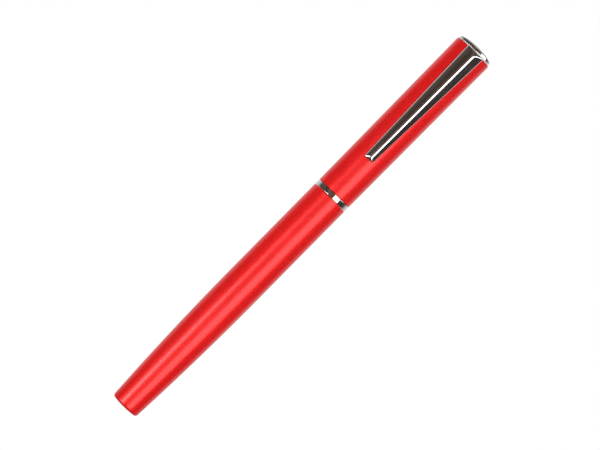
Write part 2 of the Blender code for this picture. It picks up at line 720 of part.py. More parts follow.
def build_clip(finish, pivot, pivot_place, parts, cutters):
    """The sprung clip: a ridged blade, a tab at its root and a bead at its tip."""
    hips = [(CLIP_TIP, 0.0), (CLIP_TIP + CLIP_HIP, 1.0), (CLIP_ROOT - CLIP_HIP, 1.0), (CLIP_ROOT, 0.0)]
    rows = [clip_section(station, raised) for station, raised in hips]
    shape = bmesh.new()
    grid = []
    for row in rows:
        line = []
        for across, height, station in row:
            place = Vector((station - PEN_LENGTH / 2, across, height)) * MM
            place.z += AXIS_HEIGHT * MM
            line.append(shape.verts.new(place - pivot_place))
        grid.append(line)
    for near, far in zip(grid, grid[1:]):
        for n in range(len(near) - 1):
            shape.faces.new((near[n], near[n + 1], far[n + 1], far[n]))
    shape.faces.new(grid[0][::-1])
    shape.faces.new(grid[-1])
    bmesh.ops.recalc_face_normals(shape, faces=shape.faces)
    mesh = bpy.data.meshes.new("clip")
    shape.to_mesh(mesh)
    shape.free()
    clip = add_object("clip", mesh, finish["chrome"], pivot, parts)
    mirror = clip.modifiers.new("halves", "MIRROR")
    mirror.use_axis = (False, True, False)
    mirror.use_clip = True
    mirror.merge_threshold = 0.000001

    tab_end = CAP_TOP - TAB_CLEARANCE
    tab_low = CLIP_RING_RADIUS + FACE_GAP
    tab_high = clip_station_radius(CLIP_ROOT) + CLIP_EDGE / 2
    low = Vector((tab_end - CLIP_TAB, -CLIP_TAB_WIDTH / 2, tab_low))
    high = Vector((tab_end, CLIP_TAB_WIDTH / 2, tab_high))
    shift = Vector((-PEN_LENGTH / 2, 0.0, AXIS_HEIGHT)) - pivot_place / MM
    tab_mesh = box_mesh("clip_tab", low + shift, high + shift)
    tab = add_object("clip_tab", tab_mesh, None, pivot, cutters)
    add_boolean(clip, "UNION", hide_cutter(tab))

    bead_mesh = bpy.data.meshes.new("clip_bead")
    bead_shape = bmesh.new()
    bmesh.ops.create_uvsphere(bead_shape, u_segments=TINY_FACETS, v_segments=8,
                              radius=CLIP_BUMP * MM)
    bead_shape.to_mesh(bead_mesh)
    bead_shape.free()
    bead = add_object("clip_bead", bead_mesh, None, pivot, cutters)
    station = CLIP_TIP + CLIP_BUMP_OFFSET
    height = cap_radius(station) + CLIP_BUMP_AIR + CLIP_BUMP
    place = Vector((station - PEN_LENGTH / 2, 0.0, height + AXIS_HEIGHT)) * MM
    bead.location = place - pivot_place
    add_boolean(clip, "UNION", hide_cutter(bead))


def main():
    """Clear the scene and build the pen."""
    for old in list(bpy.data.objects):
        bpy.data.objects.remove(old, do_unlink=True)
    parts = new_collection("rollerball_pen")
    cutters = new_collection("cutters")
    finish = {
        "lacquer": make_material("red_lacquer", (0.62, 0.012, 0.012), 0.28, 0.25),
        "chrome": make_material("chrome_plate", (0.62, 0.60, 0.58), 0.10, 1.0),
        "brass": make_material("turned_brass", (0.60, 0.42, 0.18), 0.30, 1.0),
        "steel": make_material("spring_steel", (0.50, 0.50, 0.50), 0.25, 1.0),
        "dark_plastic": make_material("black_plastic", (0.012, 0.012, 0.013), 0.35, 0.0),
        "grey_plastic": make_material("grey_plastic", (0.35, 0.35, 0.36), 0.45, 0.0),
        "ink": make_material("ink_wick", (0.01, 0.015, 0.05), 0.85, 0.0),
        "felt": make_material("feed_fibre", (0.04, 0.05, 0.12), 0.90, 0.0),
    }

    axis = add_empty("pen_axis", None, parts)
    axis.location = Vector((-PEN_LENGTH / 2, 0.0, AXIS_HEIGHT)) * MM
    axis.rotation_euler = (0.0, math.pi / 2, 0.0)
    ball_pivot = add_empty("ball_pivot", None, parts)
    ball_pivot.location = Vector((BALL_CENTRE - PEN_LENGTH / 2, 0.0, AXIS_HEIGHT)) * MM
    clip_pivot = add_empty("clip_pivot", None, parts)
    pivot_height = AXIS_HEIGHT + CAP_TOP_RADIUS
    pivot_station = CAP_TOP - TAB_CLEARANCE - CLIP_TAB / 2
    pivot_place = Vector((pivot_station - PEN_LENGTH / 2, 0.0, pivot_height)) * MM
    clip_pivot.location = pivot_place

    build_barrel(finish, axis, parts, cutters)
    build_ring(finish, axis, parts)
    build_section(finish, axis, parts, cutters)
    build_refill(finish, axis, ball_pivot, parts)
    build_cap(finish, axis, parts, cutters)
    build_clip(finish, clip_pivot, pivot_place, parts, cutters)


main()
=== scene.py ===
"""Looks of a capped rollerball pen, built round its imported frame.

The pen lies along X with its cap at +X and its clip up. Stations are world X and
radii are distances from the pen's centre line, both in millimetres, and every
turned piece is an outline of (station, radius, rounding) corners.
"""

import functools
import math

import bmesh
import bpy
from mathutils import Matrix, Vector


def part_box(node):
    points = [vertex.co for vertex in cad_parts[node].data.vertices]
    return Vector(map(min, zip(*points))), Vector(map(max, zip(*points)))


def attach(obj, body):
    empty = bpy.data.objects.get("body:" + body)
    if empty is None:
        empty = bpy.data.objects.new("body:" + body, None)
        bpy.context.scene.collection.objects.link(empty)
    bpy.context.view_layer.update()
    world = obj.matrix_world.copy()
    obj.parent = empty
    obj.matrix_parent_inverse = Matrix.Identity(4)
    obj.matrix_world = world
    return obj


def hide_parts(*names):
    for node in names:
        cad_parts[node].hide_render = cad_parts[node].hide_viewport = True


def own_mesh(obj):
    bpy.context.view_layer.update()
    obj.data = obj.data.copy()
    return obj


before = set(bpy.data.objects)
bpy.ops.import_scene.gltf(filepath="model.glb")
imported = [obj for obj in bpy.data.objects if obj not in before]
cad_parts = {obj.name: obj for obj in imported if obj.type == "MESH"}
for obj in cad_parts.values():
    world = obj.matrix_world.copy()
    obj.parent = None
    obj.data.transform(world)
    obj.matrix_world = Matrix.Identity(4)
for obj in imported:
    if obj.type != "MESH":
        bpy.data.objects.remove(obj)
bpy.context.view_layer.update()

bl_info = {
    "name": "Rollerball Pen",
    "version": (1, 0, 0),
    "blender": (4, 5, 0),
    "location": "View3D > Sidebar > Pen",
    "description": "Builds the visible pieces of a capped rollerball pen and its studio",
    "category": "Add Mesh",
}

MM = 0.001
CASING_FACETS = 32      # sides of the frame's casings and of what fits them
REFILL_FACETS = 20      # sides of its refill's pieces
POINT_FACETS = 12       # sides of its feed

ARC_STEP = 15           # degrees of a rounding from one point to the next
ARC_LIMIT = 0.45        # share of the shorter side of a corner that a rounding may take

SEAM = 0.15             # gap between two end faces that meet
PRESS_GAP = 0.05        # gap round a pressed piece
CROWN_STEPS = 5         # corners along the barrel's domed end
THREAD_CORE = 3.75      # radius of the sleeve under its thread
THREAD_GAP = 0.12       # gap round the thread
THREAD_FOOT = 0.36      # half the ridge's foot, as a share of the lead
THREAD_CREST = 0.12     # half the ridge's crest, as a share of the lead
THREAD_SUNK = 0.20      # how far the ridge's foot reaches into the sleeve
THREAD_FADE = 0.4       # share of a turn over which the ridge fades out
THREAD_ROWS = 110       # corners along a threaded stretch
SLEEVE_BORE = 3.25
SECTION_BORE = 3.80     # bore that the sleeve is pressed into
RING_BORE = 3.90
GRIP_RINGS = 5          # shallow grooves round the grip
GRIP_PITCH = 1.6
REFILL_WALL = 0.50
WIRE = 0.25             # radius of the spring's wire
COIL_RADIUS = 2.45
COIL_TURNS = 6
COIL_STEPS = 48         # points in a turn of the coil
CAP_SET_BACK = 0.18     # how far the casing stops short of the cap's end
CLIP_REACH = 0.45       # how far the clip's tip passes the frame's clip
CLIP_LIFT = 0.55        # gap under the clip at its tip
CLIP_SINK = 0.10        # how much less it is at its root
CLIP_BEVEL = 0.09       # rounding of the clip's lower edges
EDGE_LEAN = 8.0         # degrees by which the clip's long faces steepen toward their edges
FACE_STEPS = 12         # corners across a long face
RIDGE_STEPS = 8         # corners across half the ridge
TIP_HIP = (1.2, 0.22)   # curve of the sloped face at the tip, and rounding of its hips
ROOT_HIP = (1.9, 0.34)
HIP_MARGIN = 0.12       # closely set rows past a hip's length
MARGIN = 0.02           # how near a measured place has to be to count as the same
WHITE = (1.0, 1.0, 1.0, 1.0)

LIGHT_REACH = 0.5       # metres from the pen to the two long boxes
CAMERA_PLACE = (-0.019, 0.06118, 1.0)
CAMERA_TARGET = (0.00018, 0.00054, 0.0058)
CAMERA_RIGHT = (0.7018, -0.7123, 0.0)
FLOOR_HEIGHT = -0.00006

# Warm tones that the metal mirrors, by degrees from straight up, positive toward +Y.
WALLS = (
    (-110, (0.060, 0.048, 0.036)),
    (-88, (0.036, 0.020, 0.015)),
    (-60, (0.036, 0.028, 0.027)),
    (-8, (0.100, 0.045, 0.028)),
    (16, (0.140, 0.080, 0.062)),
    (46, (0.044, 0.033, 0.025)),
    (57, (0.048, 0.036, 0.028)),
    (65, (0.098, 0.075, 0.066)),
    (84, (0.095, 0.058, 0.052)),
    (110, (0.110, 0.080, 0.070)),
)


# ---------------------------------------------------------------- places read from the frame
@functools.lru_cache(None)
def span(node):
    """First and last station of a node."""
    low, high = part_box(node)
    return low.x / MM, high.x / MM


@functools.lru_cache(None)
def outer_radius(node, facets=CASING_FACETS):
    """Radius of a turned node, whose flats face down."""
    low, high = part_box(node)
    return (high.y - low.y) / 2 / math.cos(math.pi / facets) / MM


def centre_height():
    """Height of the pen's centre line, in metres."""
    low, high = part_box("cap_shell")
    return (low.z + high.z) / 2


HEIGHT = centre_height()


# ---------------------------------------------------------------- sizes and colours
def length(name, description, millimetres):
    """A length property with its default in millimetres."""
    return bpy.props.FloatProperty(
        name=name, description=description, default=millimetres * MM,
        min=0.0, subtype="DISTANCE", unit="LENGTH", precision=5)


def colour(name, description, value):
    """A linear colour property."""
    return bpy.props.FloatVectorProperty(
        name=name, description=description, default=value,
        min=0.0, max=1.0, size=3, subtype="COLOR")


def power(name, description, watts):
    """A light's power property."""
    return bpy.props.FloatProperty(
        name=name, description=description, default=watts, min=0.0, unit="POWER")


class PenSizes(bpy.types.PropertyGroup):
    """Sizes of the pen that the frame's boxes don't give."""

    sides: bpy.props.IntProperty(
        name="Sides", description="Facets round a turned piece", default=128, min=32)
    seam_edge: length("Seam edge", "Rounding of the edges at the open seams", 0.12)
    barrel_wall: length("Barrel wall", "Wall of the barrel", 0.90)
    barrel_taper: length("Barrel taper", "Length over which the barrel narrows", 47.2)
    barrel_narrowing: length("Narrowing", "Radius that the barrel loses at its end", 1.30)
    end_rounding: length("End rounding", "Rounding of the barrel's closed end", 0.90)
    end_crown: length("End crown", "Rise of the barrel's domed end", 0.30)
    cap_wall: length("Cap wall", "Wall of the cap at its mouth", 0.45)
    cap_widening: length("Widening", "Radius that the cap gains at its top", 0.28)
    thread_lead: length("Thread lead", "Travel of the barrel joint in a turn", 1.6)
    thread_depth: length("Thread depth", "Height of the thread's ridge", 0.35)
    clip_sheet: length("Clip sheet", "Thickness of the clip's sheet", 0.38)
    clip_edge: length("Clip edge", "Height of the clip's upright edges", 0.50)
    clip_tip: length("Clip tip", "Width of the clip at its tip", 3.10)
    clip_root: length("Clip root", "Width of the clip at its root", 5.75)
    clip_hip_tip: length("Tip hip", "Length of the sloped face at the clip's tip", 0.70)
    clip_hip_root: length("Root hip", "Length of the sloped face at the clip's root", 1.30)
    clip_draft: length("Clip draft", "Lean of the clip's edges over their height", 0.20)
    clip_drift: length("Clip drift", "Sideways set of the clip's two ends", 0.17)
    clip_crown_tip: length("Tip crown", "Radius of the clip's ridge at its tip", 1.15)
    clip_crown_root: length("Root crown", "Radius of the clip's ridge at its root", 1.40)
    clip_slope: bpy.props.FloatProperty(
        name="Clip slope", description="Slope of the clip's two long faces at the ridge",
        default=math.radians(27), min=0.0, subtype="ANGLE", unit="ROTATION")


class PenColours(bpy.types.PropertyGroup):
    """Base colours of the pen's finishes."""

    lacquer: colour("Lacquer", "Red lacquer of the barrel and cap", (0.66, 0.0026, 0.0030))
    chrome: colour("Chrome", "Bright plate of the trim", (0.86, 0.84, 0.83))
    brass: colour("Brass", "Turned brass of the thread, the plug and the point", (0.62, 0.42, 0.17))
    steel: colour("Steel", "Drawn and turned steel", (0.52, 0.52, 0.53))
    black: colour("Black plastic", "Moulded black plastic", (0.012, 0.012, 0.013))
    grey: colour("Grey plastic", "Moulded grey plastic of the refill's nose", (0.36, 0.37, 0.38))
    ink: colour("Ink", "Fibre soaked with ink", (0.010, 0.016, 0.075))


class PenStage(bpy.types.PropertyGroup):
    """Light and lens."""

    key: power("Key light", "Power of the long soft box", 1.8)
    second: power("Second light", "Power of the light past the barrel's end", 1.05)
    corner: power("Corner light", "Power of the light that catches the clip's tip", 1.2)
    end: power("End light", "Power of the light that catches the finial", 1.3)
    top: power("Top light", "Power of the broad light overhead", 11.0)
    fill: bpy.props.FloatProperty(
        name="Fill", description="Strength of the even light from all round", default=0.74,
        min=0.0)
    lens: bpy.props.FloatProperty(
        name="Lens", description="Focal length in millimetres", default=218.5, min=1.0)


# ---------------------------------------------------------------- meshes and objects
def mesh_of(shape, name):
    """A mesh from a finished bmesh."""
    mesh = bpy.data.meshes.new(name)
    shape.to_mesh(mesh)
    shape.free()
    return mesh


def box_mesh(name, low, high):
    """A box between two corners in millimetres."""
    low, high = Vector(low) * MM, Vector(high) * MM
    shape = bmesh.new()
    middle = Matrix.Translation((low + high) / 2)
    size = Matrix.Diagonal((*(high - low), 1.0))
    bmesh.ops.create_cube(shape, size=1.0, matrix=middle @ size)
    return mesh_of(shape, name)


def add_object(name, data):
    """A new object in the scene."""
    item = bpy.data.objects.new(name, data)
    bpy.context.scene.collection.objects.link(item)
    return item


def combine(piece, other, operation):
    """Join another object to a piece, or cut it out of the piece, when the piece is baked."""
    boolean = piece.modifiers.new(other.name, "BOOLEAN")
    boolean.operation = operation
    boolean.solver = "EXACT"
    boolean.object = other


def baked(piece, *others):
    """The mesh of a helper object with its modifiers applied. The helpers are removed."""
    tree = bpy.context.evaluated_depsgraph_get()
    mesh = bpy.data.meshes.new_from_object(piece.evaluated_get(tree))
    for helper in (piece, *others):
        bpy.data.objects.remove(helper)
    return mesh


def smooth(mesh, degrees=32.0):
    """Smooth shading with the hard corners left sharp."""
    mesh.shade_smooth()
    mesh.set_sharp_from_angle(angle=math.radians(degrees))


def place(name, mesh, body, finish_name, node):
    """Add a piece in place of a node, give it its finish and fasten it to its body."""
    piece = add_object(name, mesh)
    mesh.materials.append(finish(finish_name))
    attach(piece, body)
    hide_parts(node)
    return piece


# ---------------------------------------------------------------- turned shapes
def fillet(before, corner, after, radius):
    """Points of an arc that rounds one corner, with 1.0 where the arc is and 0.0 at its ends."""
    tip = Vector(corner[:2])
    back = Vector(before[:2]) - tip
    ahead = Vector(after[:2]) - tip
    turn = math.pi - back.angle(ahead)
    shorter = min(back.length, ahead.length)
    reach = radius * math.tan(turn / 2)
    limit = ARC_LIMIT * shorter
    if reach > limit:
        radius *= limit / reach
        reach = limit
    support = reach + min(0.25 * radius, 0.04 * shorter)
    back.normalize()
    ahead.normalize()
    centre = tip + (back + ahead).normalized() * (radius / math.cos(turn / 2))
    first = tip + back * reach - centre
    last = tip + ahead * reach - centre
    steps = max(3, math.ceil(math.degrees(turn) / ARC_STEP))
    points = [(*(tip + back * support), 0.0)]
    for step in range(steps + 1):
        share = step / steps
        spoke = first * math.sin((1 - share) * turn) + last * math.sin(share * turn)
        on_arc = 1.0 if 0 < step < steps else 0.0
        points.append((*(centre + spoke / math.sin(turn)), on_arc))
    points.append((*(tip + ahead * support), 0.0))
    return points


def rounded(outline, closed):
    """The outline with its roundings worked out, as (station, radius, edge) points."""
    points = []
    count = len(outline)
    for index, corner in enumerate(outline):
        rounding = corner[2] if len(corner) > 2 else 0.0
        at_end = not closed and index in (0, count - 1)
        if rounding == 0.0 or at_end:
            points.append((corner[0], corner[1], 0.0))
        else:
            points += fillet(outline[index - 1], corner, outline[(index + 1) % count], rounding)
    return points


def turned_mesh(name, outline, sides):
    """Spin an outline about the centre line. It is open where it meets that line."""
    closed = outline[0][1] > 0.0 or outline[-1][1] > 0.0
    shape = bmesh.new()
    edge_layer = shape.verts.layers.float.new("edge")
    chain = []
    for station, radius, edge in rounded(outline, closed):
        vert = shape.verts.new((station * MM, 0.0, HEIGHT + radius * MM))
        vert[edge_layer] = edge
        chain.append(vert)
    edges = [shape.edges.new(pair) for pair in zip(chain, chain[1:])]
    if closed:
        edges.append(shape.edges.new((chain[-1], chain[0])))
    bmesh.ops.spin(
        shape, geom=chain + edges, cent=(0.0, 0.0, HEIGHT), axis=(1.0, 0.0, 0.0),
        angle=2 * math.pi, steps=sides, use_merge=True)
    bmesh.ops.remove_doubles(shape, verts=shape.verts, dist=0.0005 * MM)
    bmesh.ops.recalc_face_normals(shape, faces=shape.faces)
    return mesh_of(shape, name)


def turned(name, outline, body, finish_name, node, sides=None):
    """A turned piece of the pen, in place of a node."""
    mesh = turned_mesh(name, outline, sides or bpy.context.scene.pen_sizes.sides)
    smooth(mesh)
    return place(name, mesh, body, finish_name, node)


def rows(start, end, radius_at, count):
    """Outline corners along a curve, both ends included."""
    stations = [start + (end - start) * step / count for step in range(count + 1)]
    return [(station, radius_at(station)) for station in stations]


def groove(start, side, bed, radius, depth, lip, bottom):
    """Corners of a groove with sloping sides, with the roundings of its lips and its bottom."""
    far = start + side + bed
    return [
        (start, radius, lip), (start + side, radius - depth, bottom),
        (far, radius - depth, bottom), (far + side, radius, lip)]


# ---------------------------------------------------------------- the thread of the barrel joint
def limited(value):
    """The value, kept from 0 to 1."""
    return min(1.0, max(0.0, value))


def thread_radius(station, angle, sizes, start, gap):
    """Radius of the thread's ridge at a station and an angle, and its turn counted from start."""
    lead = sizes.thread_lead / MM
    foot = THREAD_FOOT * lead + gap
    crest = THREAD_CREST * lead + gap
    low = THREAD_CORE - THREAD_SUNK
    high = THREAD_CORE + sizes.thread_depth / MM + gap
    turns = angle / (2 * math.pi)
    centre = start + lead * (0.25 + turns)
    nearest = round((station - centre) / lead)
    offset = abs(station - centre - nearest * lead)
    share = limited((foot - offset) / (foot - crest))
    return low + (high - low) * share, nearest + 0.25 + turns


def cut_thread(mesh, sizes, start, gap, first, last, turns=None):
    """Raise the thread's ridge on a turned mesh, fading at the ends of its turns.

    Without turns it is the groove in a bore, which runs right through.
    """
    surface = THREAD_CORE + gap
    for vert in mesh.vertices:
        height = vert.co.z - HEIGHT
        radius = math.hypot(vert.co.y, height) / MM
        station = vert.co.x / MM
        if abs(radius - surface) >= MARGIN or not first < station < last:
            continue
        angle = math.atan2(height, vert.co.y)
        ridge, turn = thread_radius(station, angle, sizes, start, gap)
        if ridge <= surface:
            continue
        fade = 1.0
        if turns:
            fade = limited(turn / THREAD_FADE) * limited((turns - turn) / THREAD_FADE)
        scale = (surface + (ridge - surface) * fade) / radius
        vert.co.y *= scale
        vert.co.z = HEIGHT + height * scale


# ---------------------------------------------------------------- node helpers
class Nodes:
    """Adds nodes to one tree, a line each. An input is a value or another node's output."""

    def __init__(self, tree):
        self.tree = tree

    def feed(self, socket, value):
        """Set an input, or link it to an output."""
        if isinstance(value, bpy.types.NodeSocket):
            self.tree.links.new(value, socket)
        else:
            socket.default_value = value

    def add(self, kind, inputs=None, **settings):
        """A node with its settings, and its inputs by name or number."""
        node = self.tree.nodes.new(kind)
        for key, value in settings.items():
            setattr(node, key, value)
        for key, value in (inputs or {}).items():
            self.feed(node.inputs[key], value)
        return node

    def math(self, operation, first, second=0.0, third=0.0, clamp=False):
        """A Math node's output."""
        inputs = {0: first, 1: second, 2: third}
        return self.add("ShaderNodeMath", inputs, operation=operation, use_clamp=clamp).outputs[0]

    def plus(self, value, mask, share):
        """A value with a share of a mask added."""
        return self.math("MULTIPLY_ADD", mask, share, value)

    def remap(self, value, from_low, from_high, to_low=0.0, to_high=1.0):
        """A Map Range node's output."""
        node = self.add("ShaderNodeMapRange", {
            "Value": value, "From Min": from_low, "From Max": from_high,
            "To Min": to_low, "To Max": to_high})
        return node.outputs["Result"]

    def mix(self, share, first, second):
        """A colour Mix node's output."""
        return self.add("ShaderNodeMix", {0: share, 6: first, 7: second}, data_type="RGBA").outputs[2]

    def over(self, base, mask, share, top):
        """A colour laid over another where a mask is, by a share."""
        return self.mix(self.math("MULTIPLY", mask, share), base, top)

    def noise(self, where, scale, detail, roughness=0.5, distortion=0.0):
        """A Noise node's value."""
        node = self.add("ShaderNodeTexNoise", {
            "Vector": where, "Scale": scale, "Detail": detail, "Roughness": roughness,
            "Distortion": distortion})
        return node.outputs["Fac"]

    def millimetres(self, squeeze=(1.0, 1.0, 1.0)):
        """Object coordinates in millimetres, with each axis stretched or squeezed."""
        where = self.add("ShaderNodeTexCoord").outputs["Object"]
        scale = [share / MM for share in squeeze]
        node = self.add("ShaderNodeVectorMath", {0: where, 1: scale}, operation="MULTIPLY")
        return node.outputs["Vector"]

    def effect(self, name, **inputs):
        """The outputs of an effect's group, with its inputs by name (spaces as underscores)."""
        node = self.add("ShaderNodeGroup", node_tree=effect_group(name))
        for key, value in inputs.items():
            node.inputs[key.replace("_", " ")].default_value = value
        return node.outputs

    def mix_shader(self, share, first, second):
        """A Mix Shader node's output."""
        return self.add("ShaderNodeMixShader", {0: share, 1: first, 2: second}).outputs[0]


# ---------------------------------------------------------------- effects shared by finishes
def grain_effect(nodes, entry):
    """Fine even grain of a moulded or sprayed surface."""
    where = nodes.millimetres()
    fine = nodes.noise(where, entry["Grains per mm"], 3.0, 0.55)
    wave = nodes.noise(where, entry["Wave per mm"], 2.0)
    cloud = nodes.noise(where, 0.11, 3.0, 0.6)
    return {
        "Height": nodes.math("MULTIPLY", nodes.math("ADD", fine, wave), 0.5),
        "Mask": nodes.remap(fine, 0.35, 0.65),
        "Cloud": nodes.remap(cloud, 0.3, 0.7)}


def flakes_effect(nodes, entry):
    """Metal flakes under a lacquer: small cells, each with its own brightness."""
    cells = nodes.add("ShaderNodeTexVoronoi", {
        "Vector": nodes.millimetres(), "Scale": entry["Flakes per mm"], "Randomness": 1.0})
    parts = nodes.add("ShaderNodeSeparateColor", {"Color": cells.outputs["Color"]}).outputs
    return {"Brightness": parts["Red"], "Height": parts["Green"]}


def turning_effect(nodes, entry):
    """Rings left by a lathe: lines across the pen's length, a little uneven in depth."""
    along = nodes.millimetres((1.0, 0.02, 0.02))
    rings = nodes.noise(along, entry["Lines per mm"], 2.0, 0.6)
    patch = nodes.noise(nodes.millimetres(), 0.9, 2.0)
    height = nodes.plus(rings, patch, entry["Chatter"])
    return {"Height": height, "Mask": nodes.remap(height, 0.45, 0.85)}


def drawn_effect(nodes, entry):
    """Lines left by drawing or polishing along the pen's length."""
    lines = nodes.noise(nodes.millimetres((0.05, 1.0, 1.0)), entry["Lines per mm"], 3.0, 0.6)
    return {"Height": lines, "Mask": nodes.remap(lines, 0.35, 0.65)}


def wear_effect(nodes, entry):
    """Wear that breaks up along the rounded edges."""
    edge = nodes.add("ShaderNodeAttribute", attribute_name="edge").outputs["Fac"]
    patch = nodes.noise(nodes.millimetres(), entry["Patches per mm"], 5.0, 0.65)
    low = nodes.plus(0.72, entry["Amount"], -0.4)
    sharp = nodes.math("MULTIPLY", nodes.math("SUBTRACT", patch, low), 9.0, clamp=True)
    return {"Mask": nodes.math("MULTIPLY", sharp, edge)}


def handling_effect(nodes, entry):
    """Hairline scratches, finger smudges and specks of dust."""
    where = nodes.millimetres((0.9, 0.35, 0.6))
    bend = nodes.add("ShaderNodeTexNoise", {"Vector": where, "Scale": 0.35, "Detail": 1.0})
    bent = nodes.add("ShaderNodeVectorMath", {0: where, 1: bend.outputs["Color"]},
                     operation="ADD")
    lines = nodes.add("ShaderNodeTexVoronoi", {
        "Vector": bent.outputs["Vector"], "Scale": 0.55}, feature="DISTANCE_TO_EDGE")
    thin = nodes.remap(lines.outputs["Distance"], 0.0, 0.012, 1.0, 0.0)
    broken = nodes.remap(nodes.noise(where, 0.8, 2.0), 0.52, 0.60)
    smudge = nodes.noise(nodes.millimetres(), 0.16, 4.0, 0.62, 0.6)
    specks = nodes.add("ShaderNodeTexVoronoi", {"Vector": nodes.millimetres(), "Scale": 0.9})
    speck = nodes.remap(specks.outputs["Distance"], 0.05, 0.09, 1.0, 0.0)
    return {
        "Scratch": nodes.math(
            "MULTIPLY", nodes.math("MULTIPLY", thin, broken), entry["Scratches"]),
        "Smudge": nodes.remap(smudge, 0.46, 0.66),
        "Dust": nodes.math("MULTIPLY", speck, entry["Dust"])}


EFFECTS = {
    "grain": (grain_effect, {"Grains per mm": 6.0, "Wave per mm": 1.2}),
    "flakes": (flakes_effect, {"Flakes per mm": 9.0}),
    "turning": (turning_effect, {"Lines per mm": 12.0, "Chatter": 0.2}),
    "drawn": (drawn_effect, {"Lines per mm": 9.0}),
    "wear": (wear_effect, {"Amount": 0.5, "Patches per mm": 0.8}),
    "handling": (handling_effect, {"Scratches": 0.5, "Dust": 0.3}),
}


def effect_group(name):
    """The node group of an effect, made when it is first used."""
    tree = bpy.data.node_groups.get("pen_" + name)
    if tree:
        return tree
    tree = bpy.data.node_groups.new("pen_" + name, "ShaderNodeTree")
    fill, defaults = EFFECTS[name]
    for label, default in defaults.items():
        socket = tree.interface.new_socket(label, in_out="INPUT", socket_type="NodeSocketFloat")
        socket.default_value = default
    nodes = Nodes(tree)
    results = fill(nodes, nodes.add("NodeGroupInput").outputs)
    for label in results:
        tree.interface.new_socket(label, in_out="OUTPUT", socket_type="NodeSocketFloat")
    nodes.add("NodeGroupOutput", results)
    return tree


# ---------------------------------------------------------------- finishes
def shade(nodes, shader, base, roughness, height, distance, **sockets):
    """Feed a shader: linked base, roughness and bump height, and plain values by socket name."""
    bump = nodes.add("ShaderNodeBump", {
        "Strength": 1.0, "Distance": distance * MM, "Height": height})
    nodes.feed(shader.inputs["Base Color"], base)
    nodes.feed(shader.inputs["Roughness"], roughness)
    nodes.feed(shader.inputs["Normal"], bump.outputs["Normal"])
    for key, value in sockets.items():
        shader.inputs[key.replace("_", " ")].default_value = value


def tone(value, share=1.0):
    """A colour darker or lighter by a share, with alpha."""
    return (*[min(1.0, part * share) for part in value], 1.0)


def lacquer(nodes, shader, colours):
    """Satin red lacquer over fine metal flakes, worn thin at the edges."""
    flakes = nodes.effect("flakes", Flakes_per_mm=8.0)
    grain = nodes.effect("grain", Grains_per_mm=7.0, Wave_per_mm=1.6)
    wear = nodes.effect("wear", Amount=0.30, Patches_per_mm=2.2)
    marks = nodes.effect("handling", Scratches=0.35, Dust=0.35)
    red = colours.lacquer
    base = nodes.mix(flakes["Brightness"], tone(red, 0.95), tone(red, 1.05))
    base = nodes.over(base, grain["Cloud"], 0.35, tone(red, 0.88))
    base = nodes.over(base, wear["Mask"], 0.55, (0.42, 0.006, 0.006, 1.0))
    base = nodes.over(base, marks["Dust"], 0.22, (0.72, 0.30, 0.27, 1.0))
    rough = nodes.remap(grain["Mask"], 0.0, 1.0, 0.26, 0.31)
    rough = nodes.plus(rough, marks["Smudge"], 0.03)
    rough = nodes.plus(rough, marks["Scratch"], 0.08)
    height = nodes.plus(grain["Height"], flakes["Height"], 0.12)
    height = nodes.plus(height, marks["Scratch"], -0.4)
    shade(nodes, shader, base, rough, height, 0.006, Metallic=0.40, Coat_Weight=0.35,
          Coat_Roughness=0.22)


def chrome(nodes, shader, colours):
    """Polished plate with faint smudges, hairlines and dulled edges."""
    marks = nodes.effect("handling", Scratches=0.6, Dust=0.25)
    lines = nodes.effect("drawn", Lines_per_mm=14.0)
    wear = nodes.effect("wear", Amount=0.5, Patches_per_mm=1.3)
    plate = colours.chrome
    base = nodes.over(tone(plate), marks["Smudge"], 0.35, tone(plate, 0.90))
    base = nodes.over(base, wear["Mask"], 0.5, (0.9025, 0.874, 0.836, 1.0))
    rough = nodes.remap(marks["Smudge"], 0.0, 1.0, 0.075, 0.13)
    rough = nodes.plus(rough, lines["Mask"], 0.03)
    rough = nodes.plus(rough, wear["Mask"], 0.10)
    rough = nodes.plus(rough, marks["Dust"], 0.2)
    height = nodes.math("MULTIPLY", lines["Height"], 0.35)
    height = nodes.math("SUBTRACT", height, marks["Scratch"])
    shade(nodes, shader, base, rough, height, 0.0008, Metallic=1.0)


def satin(nodes, shader, colours):
    """Plate left satin where the sheet is bent and not buffed."""
    lines = nodes.effect("turning", Lines_per_mm=16.0, Chatter=0.3)
    grain = nodes.effect("grain", Grains_per_mm=12.0, Wave_per_mm=2.0)
    base = nodes.mix(grain["Mask"], tone(colours.chrome, 0.96), tone(colours.chrome, 1.05))
    rough = nodes.remap(lines["Mask"], 0.0, 1.0, 0.40, 0.50)
    shade(nodes, shader, base, rough, lines["Height"], 0.003, Metallic=0.65)


def brass(nodes, shader, colours):
    """Turned brass, a little browned between the tool's lines."""
    lines = nodes.effect("turning", Lines_per_mm=9.0, Chatter=0.4)
    grain = nodes.effect("grain", Grains_per_mm=8.0, Wave_per_mm=0.9)
    wear = nodes.effect("wear", Amount=0.8, Patches_per_mm=1.5)
    base = nodes.mix(lines["Mask"], tone(colours.brass, 0.84), tone(colours.brass, 1.08))
    base = nodes.over(base, grain["Cloud"], 0.45, (0.34, 0.20, 0.075, 1.0))
    base = nodes.mix(wear["Mask"], base, (0.86, 0.66, 0.34, 1.0))
    rough = nodes.remap(lines["Mask"], 0.0, 1.0, 0.24, 0.36)
    rough = nodes.plus(rough, grain["Cloud"], 0.10)
    shade(nodes, shader, base, rough, lines["Height"], 0.010, Metallic=1.0)


